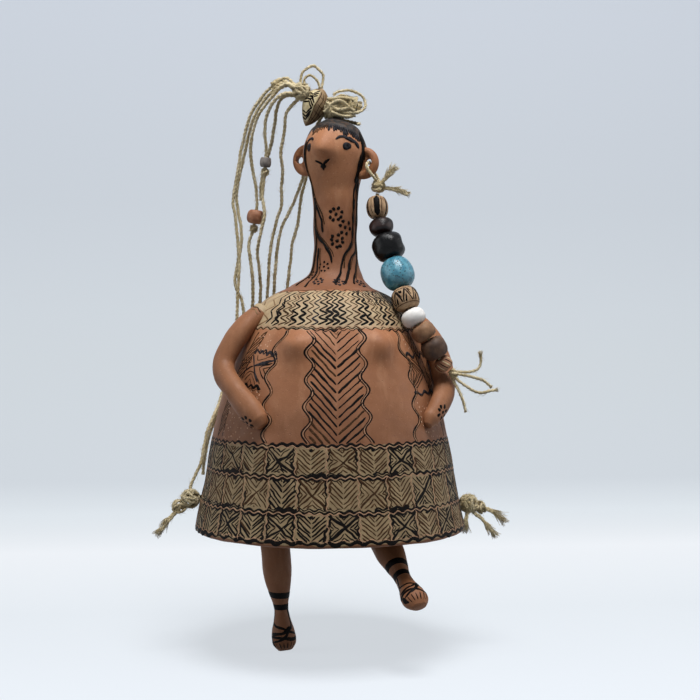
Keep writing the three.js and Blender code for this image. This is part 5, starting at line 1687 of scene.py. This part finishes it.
# The width and route of each lock of hair on the clay.
LOCKS = (
    (2.6, (-72, 192), (-75, 187), (-80, 181), (-82, 176)),
    (1.6, (-70, 191), (-73, 186), (-80, 178), (-81, 171), (-73, 164), (-56, 158), (-43, 152.5),
     (-39, 146.5)),
    (1.5, (-68, 164), (-71, 151), (-57, 145), (-33, 140), (-19, 136), (-12, 131.5)),
    (1.5, (-76, 150), (-71, 146), (-70, 134), (-70, 127.5), (-59, 120)),
    (1.3, (-55, 139), (-52, 133), (-45, 125.3), (-38, 119)),
    (3.0, (58, 196), (55, 191), (52, 186), (51, 181), (50, 175), (48, 171)),
    (1.3, (60, 194), (56, 190), (51, 187), (60, 176), (51, 169.5), (50, 158.5), (48, 146), (40, 140),
     (15, 133.5), (3, 120.5)),
    (1.5, (62, 173), (70, 160), (67, 143), (58, 137), (36, 133), (17, 120.5)),
    (1.3, (84, 162), (80, 148), (66, 134), (43, 126), (32, 120.5)),
)
BACK_LOCKS = (98, 116, 138, 160, 182, 204, 226, 246)
NECK_ROSETTES = ((-2, 155.2, 8), (23.6, 149, 6), (1, 142.1, 8))
# Those round the foot of the neck. Above this height they are small and black.
SMALL_ROSETTES = 122
FOOT_ROSETTES = ((-31, 129.4), (-55, 125.3), (-25, 121.8), (8, 121.4), (48, 121.2), (150, 124), (200, 126))


def paint_head(head):
    paint = Paint(head, head_point)
    for angle, height, wide, tall, turn in EYES:
        paint.spot("blue", angle, height, wide, tall, turn, 0.05)
        paint.spot("black", angle + 1, height + 0.2, wide * 0.45, tall * 0.5, turn, 0.05)
    paint.stroke("blue", 1.9, (-3, 190.9), (4, 192.4), (14, 192.2), (24, 191.4), (33, 190),
                 wobble=0.14, vary=0.3)
    paint.stroke("blue", 1.8, (22, 192.6), (31, 191.6), (42, 187.6), wobble=0.14, vary=0.3)
    paint.stroke("blue", 1.5, (-66, 190.3), (-60, 192.2), (-52, 192.6), (-44, 191.4), wobble=0.08)
    paint.stroke("black", 1.2, (-43, 181.2), (-36, 180.4), (-29, 179.4), wobble=0.04)
    paint.stroke("black", 1.2, (-14, 181.6), (-20, 180.5), (-27, 179.4), wobble=0.04)
    paint.spot("black", -27.8, 178.5, 2.8, 2.8)
    paint.stroke("black", 1.2, (-28, 178.9), (-28.5, 176.5), wobble=0.03)

    # Fringe at the hairline.
    for angle in np.arange(-54, 44, 4.6):
        bold = angle > -18
        top = np.interp(angle, (-54, -30, 0, 44), (196.6, 199.2, 198.6, 195.4))
        fall = rng.uniform(1.8, 3.8) + (1.2 if angle > 4 else 0)
        lean = np.interp(angle, (-54, 0, 44), (-1.5, 1.5, 5))
        paint.stroke("blue" if bold else "brown", rng.uniform(0.8, 1.2) if bold else 0.65, (angle, top),
                     (angle + lean, top - fall), wobble=0.12)

    # Locks down both sides of the head and the neck, and down the back.
    locks = list(LOCKS)
    for angle in BACK_LOCKS:
        bend = rng.uniform(-7, 7)
        locks.append((1.5, (angle, 188), (angle + bend, 168), (angle - bend, 148), (angle + bend, 133),
                      (angle, 120.5)))
    for width, *route in locks:
        smooth = uniform_spline(route, 12 * len(route))
        paint.stroke("black", width, *smooth, wobble=0.12, vary=0.25)
        paint.stroke("brown", 0.5, *[(a + 7, h + 0.4) for a, h in smooth[3:-8]], wobble=0.12, vary=0.3)
    for angle, height, petals in NECK_ROSETTES:
        paint.rosette("black", angle, height, 3.0, petals, 1.7, 1.05)
    for angle, height in FOOT_ROSETTES:
        slip, dot = ("black", 1.1) if height > SMALL_ROSETTES else ("blue", 1.5)
        paint.rosette(slip, angle, height, 2.4, 7, dot, 1.05)
    paint.finish("head")


paint_head(HEAD)

# Painting of the arms and the legs


def paint_arms():
    for name, share, turn in (("left_arm", 0.7, 2), ("right_arm", 0.76, 38)):
        paint = Paint(ARM_PIECES[name], arm_point_of(name))
        paint.rosette("black", turn, share, 3.0, 7, 1.9, 1.35)
        shares = np.linspace(0, 0.4, 80)
        for above, slip, width in ((-0.4, "brown", 1.2), (-2.4, "faint", 0.8)):
            edge = []
            for angle in np.arange(-75, 76, 10):
                x, _, z = paint.point(np.full(len(shares), float(angle)), shares).T
                line = z - CUFF_SLOPE * np.abs(x) - CUFF_EDGE - above - 0.6 * math.sin(angle / 9)
                if line[0] > 0 > line[-1]:
                    edge.append((angle, np.interp(0, -line, shares)))
            if len(edge) > 3:
                paint.stroke(slip, width, *edge, wobble=0.12, vary=0.3)
        paint.finish(name)


def paint_leg(side):
    paint = Paint(LEG_PIECES[side], placed(leg_point, leg_place(side)))
    round_leg = np.arange(-184, 185, 16)
    for down, width, lean in ((40.6, 3.0, 0.7), (46.6, 2.8, 0.3)):
        for offset in (-0.3, 0, 0.3):
            route = [(t, down + offset * width + lean * math.sin(math.radians(t))) for t in round_leg]
            paint.stroke("black", width * 0.58, *route, wobble=0.03, vary=0.05)
    straps = [
        (1.4, (62, 47.5), (66, 52), (58, 56), (30, 58), (-5, 61.5), (-60, 63.2)),
        (1.2, (-84, 54), (-40, 55.6), (0, 56.6), (40, 58.8), (74, 60)),
        (1.3, (-78, 59.6), (-40, 59), (0, 58.6), (44, 56)),
        (1.5, (-96, 61.4), (-50, 60.6), (0, 61.2), (48, 62.4), (92, 62)),
        (1.2, (-66, 47.8), (-80, 52.5), (-88, 58)),
        (1.8, (-78, 62), (-70, 64.5), (-58, 66)),
        (1.2, (92, 62), (140, 57), (180, 55), (220, 57), (268, 61.4)),
        (1.2, (66, 52), (110, 49.5), (150, 48), (180, 47.5)),
    ]
    for width, *route in straps:
        paint.stroke("black", 1.25 * width, *uniform_spline(route, 10 * len(route)), wobble=0.08)
    for turn in (-46, -24, -4, 16, 36, 54):
        paint.stroke("black", 0.6, (turn, 63.4), (turn * 0.9, 66.6), wobble=0.05)
    paint.finish(f"{side}_leg", body=f"{side}_leg")


paint_arms()
for leg_side in LEGS:
    paint_leg(leg_side)

# Painting of the beads


def bead_stripes(paint):
    heights = np.linspace(4.9, -4.9, 12)
    for k in range(6):
        turn = 60 * k - 8
        paint.stroke("black", 1.3 if k % 2 else 2.4, *[(turn, h) for h in heights], wobble=0.05)
        paint.stroke("brown", 0.5, *[(turn + 27 + 2 * math.sin(h), h) for h in heights * 0.85], wobble=0.05)


def bead_angles(paint):
    for k in range(8):
        turn = 45 * k
        paint.stroke("black", 0.9, (turn, 3.4), (turn + 21, -3.2))
        paint.stroke("black", 0.9, (turn + 45, 3.4), (turn + 24, -3.2))
        for inset in (7, 14):
            paint.stroke("black" if k % 2 else "brown", 0.75, (turn + inset, 3.3),
                         (turn + 21, -2.6 + 0.3 * inset))
        if k % 2:
            paint.spot("black", turn + 22, 2.2, 2.2, 1.6)
        for inset in (0, 6):
            paint.stroke("black", 0.7, (turn - 12 + inset, -3.3), (turn + 1, 0.6 - 0.12 * inset))
    for height in (3.8, -3.7):
        paint.stroke("brown", 0.5, *[(t, height) for t in range(0, 361, 20)])


def bead_slants(paint):
    for k in range(14):
        turn = 360 * k / 14
        paint.stroke("black" if k % 2 else "cream", 0.62, (turn, 2.3), (turn + 16, 0), (turn + 30, -2.3),
                     wobble=0.08)


def paint_beads():
    for name, draw in (("string_bead_1_striped", bead_stripes), ("string_bead_5_patterned", bead_angles),
                       ("string_bead_9_small", bead_slants)):
        paint = Paint(BEAD_PIECES[name], placed(bead_point_of(name), bead_place(name)))
        draw(paint)
        paint.finish(name, body=name, slot=slot_of(name))


def paint_almond():
    """The front left of the almond bead is cream with nested angles, its right has fine lines."""
    paint = Paint(ALMOND, almond_point)
    for ring in np.linspace(0.12, 0.9, 34):
        paint.stroke("cream", 1.0, *[(t, ring) for t in (-84, -60, -36, -12, 2)], wobble=0.03, vary=0.05)
    paint.lift = 0.12
    for start, way in ((0.16, 1), (0.4, -1), (0.63, 1)):
        for share in start + 0.075 * np.arange(3):
            paint.stroke("black", 1.0, (-76, share + 0.05 * way), (-40, share + 0.1 * way),
                         (-6, share - 0.06 * way), wobble=0.06)
    paint.lift = 0.0
    for turn in (6, 30, 54, 76, 110, 150, 190, 230):
        paint.stroke("brown", 0.5, *[(turn + 5 * math.sin(9 * s), s) for s in np.linspace(0.1, 0.9, 12)],
                     wobble=0.08)
    for share in (0.25, 0.45, 0.62, 0.78):
        paint.stroke("brown", 0.45, *[(t, share + 0.0006 * t) for t in range(12, 92, 10)], wobble=0.08)
    paint.finish("almond_bead", slot="bead_almond")


paint_beads()
paint_almond()


# Stage

FLOOR_HEIGHT = -61
STAGE_FRONT = -1600
WALL_FOOT = 420
WALL_CURVE = 400
STAGE_REACH = 2400  # to both sides and up
SOFT_LIGHT = 0.2  # the world's strength on the object
WORLD_COLOUR = (206, 212, 219)
OWN_LIGHT = (0.3, 0.9, 0.7, 0.81)  # the backdrop's glow: from where to where it grows, and from what to what
# Name, place, size and power.
LAMPS = (
    ("key_lamp", (60, -360, 1100), 520, 14.4),
    ("left_lamp", (950, -120, 380), 700, 2.2),
    ("right_lamp", (-950, -120, 380), 700, 2.2),
)
LAMP_AIM = Vector((0, 0, 90))
# The backdrop's look from the front of the floor up the wall, with the fall of light on it painted in,
# brightest on the floor by the wall's foot and darker up the wall: how far back and up, in metres, and the
# colour.
BACKDROP = (
    (-0.15, (237, 243, 250)), (0.03, (234, 240, 246)), (0.24, (246, 250, 255)), (0.42, (231, 238, 244)),
    (0.52, (214, 221, 228)), (0.8, (208, 215, 221)), (1.07, (202, 209, 217)), (1.31, (204, 211, 221)),
)
LIT_SHARE = 0.26  # the part of that look that comes from the lamps, and takes the shadow


def make_stage():
    s = Surface("backdrop")
    _, y, z = s.xyz()
    low, high = BACKDROP[0][0], BACKDROP[-1][0]
    look = s.add("ShaderNodeValToRGB", {0: s.ramp(s.plus(y, z), low, high)})
    stops = look.color_ramp.elements
    while len(stops) < len(BACKDROP):
        stops.new(0.5)
    for stop, (place, colour) in zip(stops, BACKDROP):
        stop.position = (place - low) / (high - low)
        stop.color = rgb(*colour)
    own_light = s.ramp(s.plus(y, z), *OWN_LIGHT)
    s.shade({
        "Base Color": s.mix(1 - LIT_SHARE, look.outputs[0], (0, 0, 0)),
        "Roughness": 1.0,
        "Specular IOR Level": 0.0,
        "Emission Color": look.outputs[0],
        "Emission Strength": s.times(own_light, s.seen_directly()),
    })
    profile = [(STAGE_FRONT, FLOOR_HEIGHT), (WALL_FOOT, FLOOR_HEIGHT)]
    for turn in np.linspace(0, math.pi / 2, 16)[1:]:
        profile.append((WALL_FOOT + WALL_CURVE * math.sin(turn),
                        FLOOR_HEIGHT + WALL_CURVE * (1 - math.cos(turn))))
    profile.append((WALL_FOOT + WALL_CURVE, STAGE_REACH))
    points = [(x * MM, y * MM, z * MM) for y, z in profile for x in (-STAGE_REACH, STAGE_REACH)]
    faces = [(2 * i, 2 * i + 1, 2 * i + 3, 2 * i + 2) for i in range(len(profile) - 1)]
    mesh = bpy.data.meshes.new("backdrop")
    mesh.from_pydata(points, [], faces)
    mesh.materials.append(s.material)
    mesh.shade_smooth()
    add_object("backdrop", mesh)


def make_world():
    """Soft light from all round, behind a pale backdrop."""
    world = bpy.data.worlds.new("studio")
    world.use_nodes = True
    tree = Nodes(world.node_tree)
    background = tree.nodes["Background"].inputs
    tree.put(background["Strength"], tree.ramp(tree.seen_directly(), 0, 1, SOFT_LIGHT, 1.0))
    tree.put(background["Color"], rgb(*WORLD_COLOUR))
    bpy.context.scene.world = world


def make_lamp(name, place, size, power):
    data = bpy.data.lights.new(name, "AREA")
    data.size = size * MM
    data.energy = power
    lamp = add_object(name, data)
    lamp.location = Vector(place) * MM
    lamp.rotation_euler = (LAMP_AIM - Vector(place)).to_track_quat("-Z", "Y").to_euler()


make_stage()
for lamp_row in LAMPS:
    make_lamp(*lamp_row)
make_world()
bpy.context.scene.view_settings.view_transform = "Standard"
